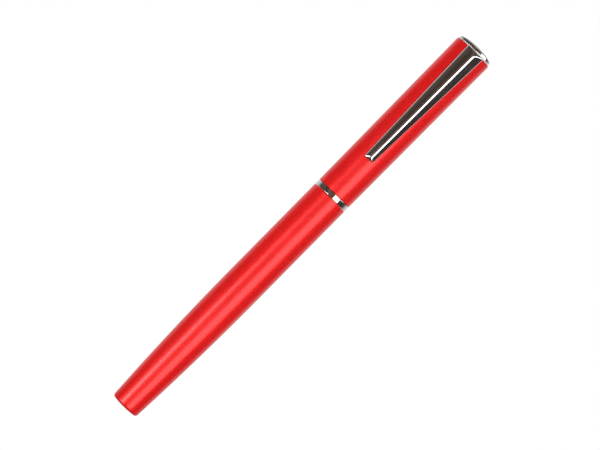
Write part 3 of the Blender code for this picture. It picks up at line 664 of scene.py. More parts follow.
def steel(nodes, shader, colours, lines, per_mm, low, high):
    """Bright steel with the lines of drawing along it or of turning round it."""
    lines = nodes.effect(lines, Lines_per_mm=per_mm)
    marks = nodes.effect("handling", Scratches=0.5, Dust=0.2)
    base = nodes.mix(lines["Mask"], tone(colours.steel, 0.86), tone(colours.steel, 1.12))
    base = nodes.over(base, marks["Smudge"], 0.25, (0.40, 0.37, 0.33, 1.0))
    rough = nodes.remap(lines["Mask"], 0.0, 1.0, low, high)
    rough = nodes.plus(rough, marks["Smudge"], 0.06)
    height = nodes.math("SUBTRACT", lines["Height"], marks["Scratch"])
    shade(nodes, shader, base, rough, height, 0.003, Metallic=1.0)


def plastic(nodes, shader, colours, shown, low, high, bump, coat):
    """Moulded plastic with a fine grain, hairlines and edges rubbed shiny."""
    grain = nodes.effect("grain", Grains_per_mm=9.0, Wave_per_mm=1.1)
    marks = nodes.effect("handling", Scratches=0.6, Dust=0.5)
    wear = nodes.effect("wear", Amount=0.6, Patches_per_mm=1.0)
    value = getattr(colours, shown)
    scratched = tone([part + 0.05 for part in value], 1.3)
    base = nodes.mix(grain["Cloud"], tone(value, 0.88), tone(value, 1.15))
    base = nodes.over(base, marks["Scratch"], 0.5, scratched)
    base = nodes.over(base, marks["Dust"], 0.4, (0.30, 0.29, 0.27, 1.0))
    rough = nodes.remap(grain["Mask"], 0.0, 1.0, low, high)
    rough = nodes.plus(rough, marks["Smudge"], 0.07)
    rough = nodes.plus(rough, wear["Mask"], -0.08)
    height = nodes.plus(grain["Height"], marks["Scratch"], -0.5)
    shade(nodes, shader, base, rough, height, bump, Coat_Weight=coat, Coat_Roughness=0.12)


def fibre(nodes, shader, colours, lighter):
    """Bonded fibres along the pen, soaked unevenly with ink."""
    lines = nodes.effect("drawn", Lines_per_mm=11.0)
    grain = nodes.effect("grain", Grains_per_mm=14.0, Wave_per_mm=2.4)
    pale = [part * 0.5 + lighter for part in colours.ink]
    base = nodes.mix(lines["Mask"], tone(colours.ink, 0.7), tone(colours.ink, 1.5))
    base = nodes.over(base, grain["Cloud"], 0.6, tone(pale))
    rough = nodes.remap(grain["Mask"], 0.0, 1.0, 0.62, 0.90)
    height = nodes.plus(lines["Height"], grain["Height"], 0.4)
    shade(nodes, shader, base, rough, height, 0.030, Sheen_Weight=0.25, Sheen_Roughness=0.5)


FINISHES = {
    "red_lacquer": (lacquer, ()),
    "chrome_plate": (chrome, ()),
    "satin_plate": (satin, ()),
    "turned_brass": (brass, ()),
    "drawn_steel": (steel, ("drawn", 10.0, 0.20, 0.32)),
    "turned_steel": (steel, ("turning", 14.0, 0.14, 0.24)),
    "ball_carbide": (steel, ("turning", 40.0, 0.06, 0.12)),
    "black_moulding": (plastic, ("black", 0.30, 0.40, 0.006, 0.25)),
    "liner_moulding": (plastic, ("black", 0.42, 0.52, 0.010, 0.0)),
    "grey_moulding": (plastic, ("grey", 0.36, 0.46, 0.006, 0.10)),
    "ink_fibre": (fibre, (0.02,)),
    "feed_fibre": (fibre, (0.16,)),
}


def new_finish(name):
    """A material with a bare Principled shader."""
    material = bpy.data.materials.new(name)
    material.use_nodes = True
    tree = material.node_tree
    return material, Nodes(tree), tree.nodes["Principled BSDF"]


def finish(name):
    """A finish by name, made when it is first used."""
    material = bpy.data.materials.get(name)
    if material is None:
        material, nodes, shader = new_finish(name)
        maker, values = FINISHES[name]
        maker(nodes, shader, bpy.context.scene.pen_colours, *values)
    return material


# ---------------------------------------------------------------- barrel
def barrel_outer(station, sizes):
    """Outer radius of the barrel, which narrows on a smooth curve to its end."""
    start = span("barrel_shell")[0]
    taper = sizes.barrel_taper / MM
    run = max(0.0, taper - (station - start)) / taper
    return outer_radius("barrel_shell") - sizes.barrel_narrowing / MM * run**2


class PEN_OT_barrel_shell(bpy.types.Operator):
    """Build the barrel's casing."""

    bl_idname = "pen.barrel_shell"
    bl_label = "Barrel Shell"

    def execute(self, context):
        sizes = context.scene.pen_sizes
        start, end = span("barrel_shell")
        edge = sizes.seam_edge / MM
        crown = sizes.end_crown / MM
        rounding = sizes.end_rounding / MM
        taper_end = start + sizes.barrel_taper / MM
        floor = start + 2.4
        shoulder = start + crown
        rear = barrel_outer(shoulder, sizes)
        mouth = outer_radius("barrel_shell")
        bore = mouth - sizes.barrel_wall / MM
        inner_rear = rear - sizes.barrel_wall / MM
        outline = [(start, 0.0)]
        for step in range(1, CROWN_STEPS + 1):
            run = step / CROWN_STEPS * (1 - 2.4 * rounding / rear)
            outline.append((start + crown * run**2, rear * run))
        outline.append((shoulder, rear, rounding))
        outline += rows(shoulder + 2.8, taper_end, lambda x: barrel_outer(x, sizes), 40)
        outline += [
            (end - 1.0, mouth), (end, mouth, edge), (end, bore, edge),
            (taper_end, bore), (floor, inner_rear, 0.4), (floor, 0.0)]
        turned("barrel_casing", outline, "barrel", "red_lacquer", "barrel_shell")
        return {"FINISHED"}


class PEN_OT_barrel_bush(bpy.types.Operator):
    """Build the brass bush with the barrel joint's inner thread."""

    bl_idname = "pen.barrel_bush"
    bl_label = "Barrel Bush"

    def execute(self, context):
        sizes = context.scene.pen_sizes
        start, end = span("barrel_bush")
        radius = outer_radius("barrel_bush")
        bore = THREAD_CORE + THREAD_GAP
        flare = 0.30
        outline = [(start, radius, 0.12), (end, radius, 0.12), (end, bore + flare, 0.05)]
        outline += rows(end - flare, start + flare, lambda x: bore, THREAD_ROWS)
        outline.append((start, bore + flare, 0.05))
        mesh = turned_mesh("bush_with_thread", outline, 96)
        thread_start = span("thread_sleeve")[0] + sizes.thread_lead / MM
        cut_thread(mesh, sizes, thread_start, THREAD_GAP, start, end)
        smooth(mesh, 45)
        place("bush_with_thread", mesh, "barrel", "turned_brass", "barrel_bush")
        return {"FINISHED"}


def coil_mesh(first, last):
    """The spring's wire between two stations, with its end turns lying closer."""
    count = COIL_TURNS * COIL_STEPS
    curve = bpy.data.curves.new("coil_of_spring", "CURVE")
    curve.dimensions = "3D"
    curve.bevel_depth = WIRE * MM
    curve.bevel_resolution = 4
    curve.use_fill_caps = True
    wire = curve.splines.new("POLY")
    wire.points.add(count)
    for step in range(count + 1):
        angle = 2 * math.pi * step / COIL_STEPS
        run = step / count - 0.06 * math.sin(2 * math.pi * step / count)
        across = COIL_RADIUS * math.sin(angle) * MM
        height = HEIGHT - COIL_RADIUS * math.cos(angle) * MM
        wire.points[step].co = ((first + (last - first) * run) * MM, across, height, 1.0)
    shape = bmesh.new()
    shape.from_mesh(baked(add_object("coil_holder", curve)))
    bmesh.ops.remove_doubles(shape, verts=shape.verts, dist=0.0005 * MM)
    bmesh.ops.recalc_face_normals(shape, faces=shape.faces)
    mesh = mesh_of(shape, "coil_of_spring")
    smooth(mesh, 50)
    return mesh


class PEN_OT_refill_spring(bpy.types.Operator):
    """Build the spring behind the refill and the seat that it stands on."""

    bl_idname = "pen.refill_spring"
    bl_label = "Refill Spring"

    def execute(self, context):
        start, end = span("spring_seat")
        radius = outer_radius("spring_seat", REFILL_FACETS)
        seat = start + 1.1
        outline = [
            (start, 0.0), (start, 0.9), (start + 0.25, 1.1, 0.08), (start, 1.3),
            (start, radius, 0.15), (seat, radius, 0.15), (seat, 1.6, 0.12),
            (end - 0.25, 1.36, 0.1), (end, 1.15, 0.1), (end, 0.0)]
        turned("seat_of_spring", outline, "barrel", "black_moulding",
               "spring_seat", 64)

        first = seat + SEAM + WIRE
        last = span("refill_end_plug")[0] - SEAM - WIRE
        coil = place("coil_of_spring", coil_mesh(first, last), "barrel",
                     "drawn_steel", "refill_spring")
        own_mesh(coil)
        return {"FINISHED"}


class PEN_OT_centre_ring(bpy.types.Operator):
    """Build the bright ring between the barrel and the cap."""

    bl_idname = "pen.centre_ring"
    bl_label = "Centre Ring"

    def execute(self, context):
        start, end = span("centre_ring")
        radius = outer_radius("centre_ring")
        outline = [
            (start, RING_BORE, 0.08), (start, radius, 0.09),
            (end, radius, 0.09), (end, RING_BORE, 0.08)]
        turned("bright_ring", outline, "ring", "chrome_plate", "centre_ring")
        return {"FINISHED"}


# ---------------------------------------------------------------- grip section
class PEN_OT_grip_section(bpy.types.Operator):
    """Build the grip section and the ring that the cap clicks over."""

    bl_idname = "pen.grip_section"
    bl_label = "Grip Section"

    def execute(self, context):
        start, end = span("grip_section")
        rear = outer_radius("grip_section")
        front = 3.75
        grip_start = start + 5.2
        spigot = end - 4.1
        sleeve_end = start + 8.3

        def waist(station):
            run = (station - grip_start) / (end - grip_start)
            return rear + (front - rear) * run - 0.22 * math.sin(math.pi * run)

        outline = [(start, SECTION_BORE, 0.10), (start, rear, 0.15)]
        outline += groove(start + 1.9, 0.0, 1.2, rear, 0.30, 0.05, 0.0)
        outline += rows(grip_start, end - 12.0, waist, 14)
        for ring in range(GRIP_RINGS):
            middle = end - 10.4 + GRIP_PITCH * ring
            bed = waist(middle) - 0.09
            outline += [
                (middle - 0.34, waist(middle - 0.34), 0.10), (middle - 0.12, bed, 0.08),
                (middle + 0.12, bed, 0.08), (middle + 0.34, waist(middle + 0.34), 0.10)]
        outline += rows(end - 2.6, end - 0.6, waist, 3)
        outline += [
            (end, front, 0.12), (end, 3.35, 0.08), (spigot, 3.35), (spigot, SLEEVE_BORE),
            (sleeve_end, SLEEVE_BORE), (sleeve_end, SECTION_BORE)]
        turned("grip", outline, "section", "black_moulding", "grip_section")

        low = rear - 0.25
        first, last = span("snap_ring")
        crest = ((first + last) / 2, outer_radius("snap_ring"), 0.45)
        outline = [
            (first, low, 0.05), (first, rear, 0.06), crest, (last, rear, 0.06), (last, low, 0.05)]
        turned("click_ring", outline, "section", "turned_steel", "snap_ring")
        return {"FINISHED"}


class PEN_OT_thread_sleeve(bpy.types.Operator):
    """Build the brass sleeve with the barrel joint's outer thread."""

    bl_idname = "pen.thread_sleeve"
    bl_label = "Thread Sleeve"

    def execute(self, context):
        sizes = context.scene.pen_sizes
        start, end = span("thread_sleeve")
        lead = sizes.thread_lead / MM
        thread_start = start + lead
        first = start + 0.4
        last = thread_start + 5.5 * lead
        outline = [
            (end, SLEEVE_BORE, 0.08), (start, SLEEVE_BORE, 0.15),
            (start, THREAD_CORE - 0.12), (start + 0.12, THREAD_CORE, 0.06)]
        outline += rows(first, last, lambda x: THREAD_CORE, THREAD_ROWS)
        outline += [(end - 0.4, THREAD_CORE), (end, THREAD_CORE - 0.1, 0.05)]
        mesh = turned_mesh("sleeve_with_thread", outline, 96)
        cut_thread(mesh, sizes, thread_start, 0.0, first, last, 4.0)
        smooth(mesh, 45)
        place("sleeve_with_thread", mesh, "section", "turned_brass", "thread_sleeve")
        return {"FINISHED"}


class PEN_OT_nose_cone(bpy.types.Operator):
    """Build the bright cone round the writing point."""

    bl_idname = "pen.nose_cone"
    bl_label = "Nose Cone"

    def execute(self, context):
        start, end = span("nose_cone")
        front = outer_radius("nose_cone")
        bore = 3.15
        mouth = 1.35
        shoulder = end - 7.4
        band = shoulder + 0.8
        spigot = front - 0.45
        cone_start = band + 0.32
        cone_end = end - 0.22
        wide = front - 0.14
        narrow = 1.88

        def cone(station):
            run = (station - cone_start) / (cone_end - cone_start)
            return wide + (narrow - wide) * run + 0.10 * math.sin(math.pi * run)

        outline = [
            (start, bore, 0.05), (start, spigot, 0.10), (shoulder, spigot),
            (shoulder, front, 0.12), (band, front - 0.08, 0.06),
            (band + 0.06, front - 0.20, 0.05), (band + 0.26, front - 0.24, 0.05)]
        outline += rows(cone_start, cone_end, cone, 16)
        outline += [(end, 1.66, 0.10), (end, mouth, 0.10), (end - 2.0, mouth), (end - 8.0, bore)]
        turned("bright_nose", outline, "section", "chrome_plate", "nose_cone")
        return {"FINISHED"}


# ---------------------------------------------------------------- refill
class PEN_OT_refill_case(bpy.types.Operator):
    """Build the refill's tube, end plug and nose."""

    bl_idname = "pen.refill_case"
    bl_label = "Refill Case"

    def execute(self, context):
        start, end = span("refill_tube")
        radius = outer_radius("refill_tube", REFILL_FACETS)
        bore = radius - REFILL_WALL
        outline = [(start, bore, 0.06), (start, radius, 0.14)]
        for crimp in (start + 1.1, end - 3.2):
            outline += groove(crimp, 0.25, 0.50, radius, 0.10, 0.0, 0.15)
        outline += [(end, radius, 0.14), (end, bore, 0.06)]
        turned("tube_of_refill", outline, "refill", "drawn_steel", "refill_tube", 96)

        start, end = span("refill_end_plug")
        spigot = bore - PRESS_GAP
        dimple = start + 0.30
        head = start + 0.65
        outline = [
            (dimple, 0.0), (dimple, 0.75, 0.10), (start, 0.95, 0.10), (start, radius, 0.18),
            (head, radius, 0.05), (head, spigot), (end, spigot, 0.20), (end, 0.0)]
        turned("plug_of_refill", outline, "refill", "black_moulding",
               "refill_end_plug", 96)

        start, end = span("refill_nose")
        tip = end - 2.0
        shoulder = tip - 6.0
        body = shoulder - 2.5
        socket = end - 2.2
        slim = 1.20
        feed = 0.60
        outline = [(start, feed, 0.05), (start, spigot, 0.20), (body, spigot), (body, radius, 0.10)]
        outline += groove(shoulder - 1.6, 0.10, 0.30, radius, 0.12, 0.05, 0.05)
        outline += [
            (shoulder, radius, 0.25), (tip, slim, 0.6), (end, slim, 0.08), (end, 0.90, 0.04),
            (socket, 0.90), (socket, feed)]
        turned("nose_of_refill", outline, "refill", "grey_moulding",
               "refill_nose", 96)
        return {"FINISHED"}


class PEN_OT_refill_ink(bpy.types.Operator):
    """Build the fibre rod that holds the ink and the feed that carries it."""

    bl_idname = "pen.refill_ink"
    bl_label = "Refill Ink"

    def execute(self, context):
        start, end = span("ink_reservoir")
        radius = outer_radius("ink_reservoir", REFILL_FACETS)

        def wrap(station):
            return radius - 0.05 + 0.05 * math.sin((station - start) * 2.2) ** 2

        outline = [(start, 0.0), (start, radius - 0.1, 0.25)]
        outline += rows(start + 0.6, end - 0.6, wrap, 160)
        outline += [(end, radius - 0.1, 0.25), (end, 0.0)]
        turned("ink_wick", outline, "refill", "ink_fibre", "ink_reservoir", 48)

        start, end = span("feed_rod")
        radius = outer_radius("feed_rod", POINT_FACETS)
        outline = [
            (start, 0.0), (start, radius, 0.12), (end - 0.6, radius, 0.2),
            (end, 0.22, 0.1), (end, 0.0)]
        turned("feed", outline, "refill", "feed_fibre", "feed_rod", 48)
        return {"FINISHED"}


class PEN_OT_writing_point(bpy.types.Operator):
    """Build the writing point and its ball."""

    bl_idname = "pen.writing_point"
    bl_label = "Writing Point"

    def execute(self, context):
        start, end = span("point_cone")
        radius = outer_radius("point_cone", REFILL_FACETS)
        shoulder = span("refill_nose")[1] + SEAM
        band = shoulder + 1.45
        spigot = 0.85
        channel = 0.18
        first, last = span("writing_ball")
        ball = (last - first) / 2
        centre = (last + first) / 2
        socket = ball + 0.02
        lip = math.sqrt(ball**2 - (end - centre) ** 2) + 0.02
        outline = [
            (start, channel, 0.03), (start, spigot, 0.10), (shoulder, spigot),
            (shoulder, radius, 0.10), (band - 0.55, radius - 0.03),
            (band - 0.42, radius - 0.12, 0.04), (band - 0.20, radius - 0.12, 0.04),
            (band - 0.07, radius - 0.05), (band, radius - 0.08, 0.15),
            (end - 0.42, lip + 0.24, 0.25), (end, lip + 0.08, 0.03), (end, lip)]
        for step in range(1, 8):
            angle = math.radians(25 + 130 * step / 8)
            outline.append((centre + socket * math.cos(angle), socket * math.sin(angle)))
        outline.append((centre - ball - 0.18, channel))
        turned("point_of_refill", outline, "refill", "turned_brass", "point_cone", 96)

        shape = bmesh.new()
        middle = Matrix.Translation((centre * MM, 0.0, HEIGHT))
        bmesh.ops.create_icosphere(shape, subdivisions=5, radius=ball * MM, matrix=middle)
        mesh = mesh_of(shape, "ball_of_point")
        smooth(mesh)
        place("ball_of_point", mesh, "ball", "ball_carbide", "writing_ball")
        return {"FINISHED"}


# ---------------------------------------------------------------- cap
def cap_outer(station, sizes):
    """Outer radius of the cap, which widens gently to its top."""
    start, end = span("cap_shell")
    top = outer_radius("cap_shell")
    return top - sizes.cap_widening / MM * (end - station) / (end - start)


class PEN_OT_cap_shell(bpy.types.Operator):
    """Build the cap's casing, with the notch for the clip's tab."""

    bl_idname = "pen.cap_shell"
    bl_label = "Cap Shell"

    def execute(self, context):
        sizes = context.scene.pen_sizes
        start, cap_end = span("cap_shell")
        end = cap_end - CAP_SET_BACK
        recess = cap_end - 0.85
        floor = recess - 0.65
        mouth = cap_outer(start, sizes)
        top = outer_radius("cap_shell")
        bore = mouth - sizes.cap_wall / MM
        edge = sizes.seam_edge / MM
        seat = 4.05
        stud_hole = 1.75
        outline = [(start, bore, edge), (start, mouth, edge)]
        outline += rows(start + 1.0, end - 1.0, lambda x: cap_outer(x, sizes), 24)
        outline += [
            (end, top, 0.24), (end, seat, 0.08), (recess, seat), (recess, stud_hole, 0.08),
            (floor, stud_hole, 0.08), (floor, bore)]
        piece = add_object("notched_cap", turned_mesh("cap_casing", outline, sizes.sides))
        base = HEIGHT / MM
        notch = box_mesh("notch", (recess, -1.5, base + 3.7), (end + 1.0, 1.5, base + top + 1.0))
        cutter = add_object("notch_cutter", notch)
        combine(piece, cutter, "DIFFERENCE")
        mesh = baked(piece, cutter)
        smooth(mesh)
        place("cap_casing", mesh, "cap", "red_lacquer", "cap_shell")
        return {"FINISHED"}


class PEN_OT_inner_cap(bpy.types.Operator):
    """Build the liner that seals the point and the plug above it."""

    bl_idname = "pen.inner_cap"
    bl_label = "Inner Cap"

    def execute(self, context):
        start, end = span("inner_cap")
        radius = outer_radius("inner_cap")
        inside = radius - 0.40
        floor = end - 1.2
        outline = [
            (end, 0.0), (end, radius, 0.5), (start, radius, 0.08),
            (start, inside + 0.12), (start + 0.8, inside, 0.3)]
        outline += rows(start + 6.0, floor - 8.0, lambda x: inside, 8)
        outline += [(floor - 1.6, inside, 0.8), (floor, inside - 1.6, 0.5), (floor, 0.0)]
        turned("cap_liner", outline, "cap", "liner_moulding", "inner_cap")

        start, end = span("cap_plug")
        radius = outer_radius("cap_plug")
        hole = 0.95
        outline = [(start, hole, 0.06), (start, radius, 0.25)]
        outline += groove(start + 1.4, 0.15, 0.60, radius, 0.14, 0.05, 0.05)
        outline += [(end, radius, 0.12), (end, hole, 0.12)]
        turned("plug_of_cap", outline, "cap", "turned_brass", "cap_plug")
        return {"FINISHED"}


class PEN_OT_finial(bpy.types.Operator):
    """Build the bright disc on the cap's end and its stud."""

    bl_idname = "pen.finial"
    bl_label = "Finial"

    def execute(self, context):
        boss_start, end = span("finial")
        radius = outer_radius("finial")
        start = span("cap_shell")[1] + SEAM
        stud_end = start + 0.45
        outline = [
            (end, 0.0), (end - 0.02, 1.00), (end - 0.08, 2.00), (end - 0.17, 2.80),
            (end - 0.30, 3.55), (end - 0.45, 4.20), (end - 0.78, radius - 0.13, 0.35),
            (start + 0.10, radius, 0.12), (start, radius - 0.10, 0.06), (start, 1.60),
            (boss_start, 1.60, 0.05), (boss_start, 0.95, 0.04), (stud_end, 0.95),
            (stud_end, 0.0)]
        turned("end_disc", outline, "cap", "chrome_plate", "finial")

        first, last = span("finial_stud")
        radius = outer_radius("finial_stud")
        tip = radius - 0.15
        outline = [(first, 0.0), (first, tip, 0.04), (first + 0.25, radius, 0.05)]
        outline += groove(first + 3.1, 0.15, 0.35, radius, 0.12, 0.05, 0.05)
        outline += [(last - 0.2, radius, 0.05), (last, tip, 0.04), (last, 0.0)]
        turned("disc_stud", outline, "cap", "turned_steel", "finial_stud", 64)
        return {"FINISHED"}


# ---------------------------------------------------------------- clip
def clip_ends():
    """Stations of the clip's tip and root."""
    return span("clip")[0] - CLIP_REACH, span("clip_ring")[1] - 0.15


def clip_run(station):
    """How far along the clip a station is, from 0 at its tip to 1 at its root."""
    start, end = clip_ends()
    return (station - start) / (end - start)


def clip_floor(station, sizes):
    """Height of the clip's underside at a station."""
    return HEIGHT / MM + cap_outer(station, sizes) + CLIP_LIFT - CLIP_SINK * clip_run(station)


def clip_roof(brow, crown, sizes):
    """Across and height of the clip's rounded roof, from one edge to the ridge's middle."""
    slope = sizes.clip_slope
    shoulder = crown * math.sin(slope)
    step_across = (brow - shoulder) / FACE_STEPS
    across, height = brow, sizes.clip_edge / MM
    points = []
    for step in range(FACE_STEPS):
        points.append((across, height))
        lean = slope + math.radians(EDGE_LEAN) * (1 - step / FACE_STEPS)
        height += step_across * math.tan(lean)
        across -= step_across
    for step in range(RIDGE_STEPS):
        angle = slope * (1 - step / (RIDGE_STEPS - 1))
        lift = crown * (math.cos(angle) - math.cos(slope))
        points.append((crown * math.sin(angle), height + lift))
    return points


def hipped(points, distance, hip, curve, blend):
    """The roof where the sloped face at the clip's end cuts it, rounded along the hips."""
    edge, top = points[0][1], points[-1][1]
    share = 1 - (1 - min(1.0, distance / hip)) ** curve
    ramp = edge + (top - edge) * share + max(0.0, distance - hip)
    cut = [points[0]]
    for across, height in points[1:]:
        nearness = max(0.0, 1 - abs(height - ramp) / blend)
        cut.append((across, max(edge, min(height, ramp) - blend * nearness**2 / 4)))
    return cut


def clip_section(station, sizes):
    """The clip's outline at one station: its roof, its edges and the channel under it."""
    start, end = clip_ends()
    run = clip_run(station)
    tip_hip = sizes.clip_hip_tip / MM
    root_hip = sizes.clip_hip_root / MM
    half = (sizes.clip_tip + (sizes.clip_root - sizes.clip_tip) * run) / MM / 2
    crown = (sizes.clip_crown_tip + (sizes.clip_crown_root - sizes.clip_crown_tip) * run) / MM
    sheet = sizes.clip_sheet / MM
    edge = sizes.clip_edge / MM
    brow = half - sizes.clip_draft / MM
    roof = clip_roof(brow, crown, sizes)
    roof = hipped(roof, station - start, tip_hip, *TIP_HIP)
    roof = hipped(roof, end - station, root_hip, *ROOT_HIP)
    top = roof[-1][1]
    mirrored = [(-across, height) for across, height in reversed(roof[:-1])]
    corners = [(half, 0.0)] + roof + mirrored + [(-half, 0.0)]
    clear = min(station - start - tip_hip, end - station - root_hip)
    hollow = limited(clear / 0.6)
    for step in range(9):
        across = (brow - sheet) * (step / 4 - 1)
        under = edge + (brow - abs(across)) * math.tan(sizes.clip_slope) - 1.15 * sheet
        under = max(0.0, min(under, top - sheet - 0.06)) * hollow
        corners.append((across, 0.0 if step in (0, 8) else under))
    drift = sizes.clip_drift / MM * (1 - 2 * run)
    floor = clip_floor(station, sizes)
    return [Vector((station, across + drift, floor + height)) for across, height in corners]


def clip_sections(sizes):
    """Rows of the clip's outline from its tip to its root, closer together at the hips."""
    start, end = clip_ends()
    tip = sizes.clip_hip_tip / MM + HIP_MARGIN
    root = sizes.clip_hip_root / MM + HIP_MARGIN
    first, last = start + tip + 0.3, end - root - 0.3
    stations = [start + tip * step / 14 for step in range(15)]
    stations += [first + (last - first) * step / 20 for step in range(21)]
    stations += [end - root * (1 - step / 20) for step in range(21)]
    return [clip_section(station, sizes) for station in stations]


def weigh_edges(shape, sizes):
    """Give the clip's lower edges their share of the rounding."""
    brow = sizes.clip_edge / MM
    weight = shape.edges.layers.float.new("bevel_weight_edge")
    for edge in shape.edges:
        if len(edge.link_faces) != 2 or edge.calc_face_angle() < math.radians(18):
            continue
        rise = [vert.co.z / MM - clip_floor(vert.co.x / MM, sizes) for vert in edge.verts]
        if min(rise) > brow - MARGIN and max(rise) < brow + MARGIN:
            edge[weight] = 1.0
        elif max(rise) < MARGIN:
            edge[weight] = 0.4


def clip_sheet(sizes):
    """The clip's bent sheet, as a helper object with its edges rounded."""
    shape = bmesh.new()
    grid = []
    for section in clip_sections(sizes):
        grid.append([shape.verts.new(corner * MM) for corner in section])
    count = len(grid[0])
    for near, far in zip(grid, grid[1:]):
        for n in range(count):
            m = (n + 1) % count
            shape.faces.new((near[n], near[m], far[m], far[n]))
    shape.faces.new(grid[0][::-1])
    shape.faces.new(grid[-1])
    bmesh.ops.remove_doubles(shape, verts=shape.verts, dist=0.001 * MM)
    bmesh.ops.dissolve_degenerate(shape, edges=shape.edges, dist=0.001 * MM)
    bmesh.ops.recalc_face_normals(shape, faces=shape.faces)
    weigh_edges(shape, sizes)
    piece = add_object("clip_sheet", mesh_of(shape, "clip_sheet"))
    bevel = piece.modifiers.new("edges", "BEVEL")
    bevel.width = CLIP_BEVEL * MM
    bevel.segments = 3
    bevel.limit_method = "WEIGHT"
    return piece


def clip_tab(sizes):
    """The tab at the clip's root, which reaches down to the clip's ring."""
    top = span("cap_shell")[1]
    base = HEIGHT / MM
    high = base + cap_outer(top, sizes) + 0.70
    return box_mesh("clip_tab", (top - 0.70, -1.3, base + 4.30), (top - 0.20, 1.3, high))


def clip_bead(sizes):
    """The bead under the clip's tip, just clear of the cap."""
    station = span("clip")[0] + 3.2
    radius = 0.65
    height = HEIGHT / MM + cap_outer(station, sizes) + 0.10 + radius
    shape = bmesh.new()
    middle = Matrix.Translation(Vector((station, 0.0, height)) * MM)
    bmesh.ops.create_uvsphere(
        shape, u_segments=32, v_segments=20, radius=radius * MM, matrix=middle)
    return mesh_of(shape, "clip_bead")


class PEN_OT_clip(bpy.types.Operator):
    """Build the sprung clip and the ring that holds it."""

    bl_idname = "pen.clip"
    bl_label = "Clip"

    def execute(self, context):
        sizes = context.scene.pen_sizes
        piece = clip_sheet(sizes)
        others = [add_object(mesh.name, mesh) for mesh in (clip_tab(sizes), clip_bead(sizes))]
        for other in others:
            combine(piece, other, "UNION")
        mesh = baked(piece, *others)
        smooth(mesh, 40)
        place("pocket_clip", mesh, "clip_blade", "chrome_plate", "clip")

        start, end = span("clip_ring")
        radius = outer_radius("clip_ring")
        collar = outer_radius("cap_shell") - 0.18
        collar_start = end - 0.13
        collar_end = end + 0.12
        outline = [
            (start, 1.75, 0.08), (start, radius, 0.12), (collar_start, radius),
            (collar_start, collar, 0.10), (collar_end, collar, 0.10), (collar_end, 1.75, 0.08)]
        turned("ring_of_clip", outline, "cap", "satin_plate", "clip_ring")
        return {"FINISHED"}


# ---------------------------------------------------------------- stage
def area_light(name, location, aim_station, size, watts, glossy=True):
    """A soft box facing the pen's centre line, either mirrored only or for matt light only."""
    light = bpy.data.lights.new(name, "AREA")
    light.shape = "RECTANGLE"
    light.size, light.size_y = size
    light.energy = watts
    lamp = add_object(name, light)
    lamp.location = location
    away = Vector((aim_station, 0.0, HEIGHT)) - Vector(location)
    lamp.rotation_euler = away.to_track_quat("-Z", "Y").to_euler()
    lamp.visible_glossy = glossy
    lamp.visible_diffuse = not glossy


def over_pen(station, lean):
    """A place over the pen, leaning toward +Y by an angle in degrees."""
    angle = math.radians(lean)
    return station, LIGHT_REACH * math.sin(angle), LIGHT_REACH * math.cos(angle)


def studio_world(fill):
    """Even white fill, and dark warm walls for what the metal mirrors."""
    world = bpy.data.worlds.new("studio")
    bpy.context.scene.world = world
    world.use_nodes = True
    world.node_tree.nodes.clear()
    nodes = Nodes(world.node_tree)
    path = nodes.add("ShaderNodeLightPath").outputs
    white = nodes.add("ShaderNodeBackground", {"Color": WHITE, "Strength": 1.0})
    even = nodes.add("ShaderNodeBackground", {"Color": WHITE, "Strength": fill})
    where = nodes.add("ShaderNodeTexCoord").outputs["Generated"]
    parts = nodes.add("ShaderNodeSeparateXYZ", {0: where}).outputs
    lean = nodes.math("ARCTAN2", parts["Y"], parts["Z"])
    ramp = nodes.add("ShaderNodeValToRGB", {"Fac": nodes.remap(lean, -math.pi, math.pi)})
    stops = ramp.color_ramp.elements
    for degrees, tint in WALLS:
        stops.new(0.5 + degrees / 360).color = (*tint, 1.0)
    stops.remove(stops[0])
    stops.remove(stops[-1])
    walls = nodes.add("ShaderNodeBackground", {"Color": ramp.outputs["Color"], "Strength": 1.0})
    mirrored = nodes.mix_shader(path["Is Glossy Ray"], even.outputs[0], walls.outputs[0])
    seen = nodes.mix_shader(path["Is Camera Ray"], mirrored, white.outputs[0])
    nodes.add("ShaderNodeOutputWorld", {"Surface": seen})


def paper_with_painted_glow():
    """White paper that stays white to the eye; in mirrored light it is a painted glow, bright near
    the pen and fading to dark further off.
    """
    material, nodes, shader = new_finish("white_paper")
    path = nodes.add("ShaderNodeLightPath").outputs
    where = nodes.add("ShaderNodeTexCoord").outputs["Object"]
    parts = nodes.add("ShaderNodeSeparateXYZ", {0: where}).outputs
    past_end = nodes.math("SUBTRACT", nodes.math("ABSOLUTE", parts["X"]), 0.062)
    beyond = nodes.math("MULTIPLY", nodes.math("MAXIMUM", past_end, 0.0), 2.2)
    squares = nodes.plus(nodes.math("MULTIPLY", beyond, beyond), parts["Y"], parts["Y"])
    # painted glow for mirrored rays: 0.70 within 12 mm of the pen (and past its ends), fading to 0.09
    # by 38 mm
    fade = nodes.remap(nodes.math("SQRT", squares), 0.012, 0.038, 0.70, 0.09)
    tint = nodes.over((0.90, 0.90, 0.90, 1.0), nodes.noise(where, 900.0, 4.0), 0.04,
                      (0.82, 0.82, 0.82, 1.0))
    nodes.feed(shader.inputs["Base Color"], tint)
    shader.inputs["Roughness"].default_value = 0.9
    glow = nodes.add("ShaderNodeEmission", {"Color": WHITE, "Strength": 1.0})
    # the floor's painted glow, an emission seen only by mirrored rays
    mirrored = nodes.add("ShaderNodeEmission", {"Color": WHITE, "Strength": fade})
    near = nodes.mix_shader(path["Is Glossy Ray"], shader.outputs[0], mirrored.outputs[0])
    seen = nodes.mix_shader(path["Is Camera Ray"], near, glow.outputs[0])
    nodes.feed(nodes.tree.nodes["Material Output"].inputs["Surface"], seen)
    return material


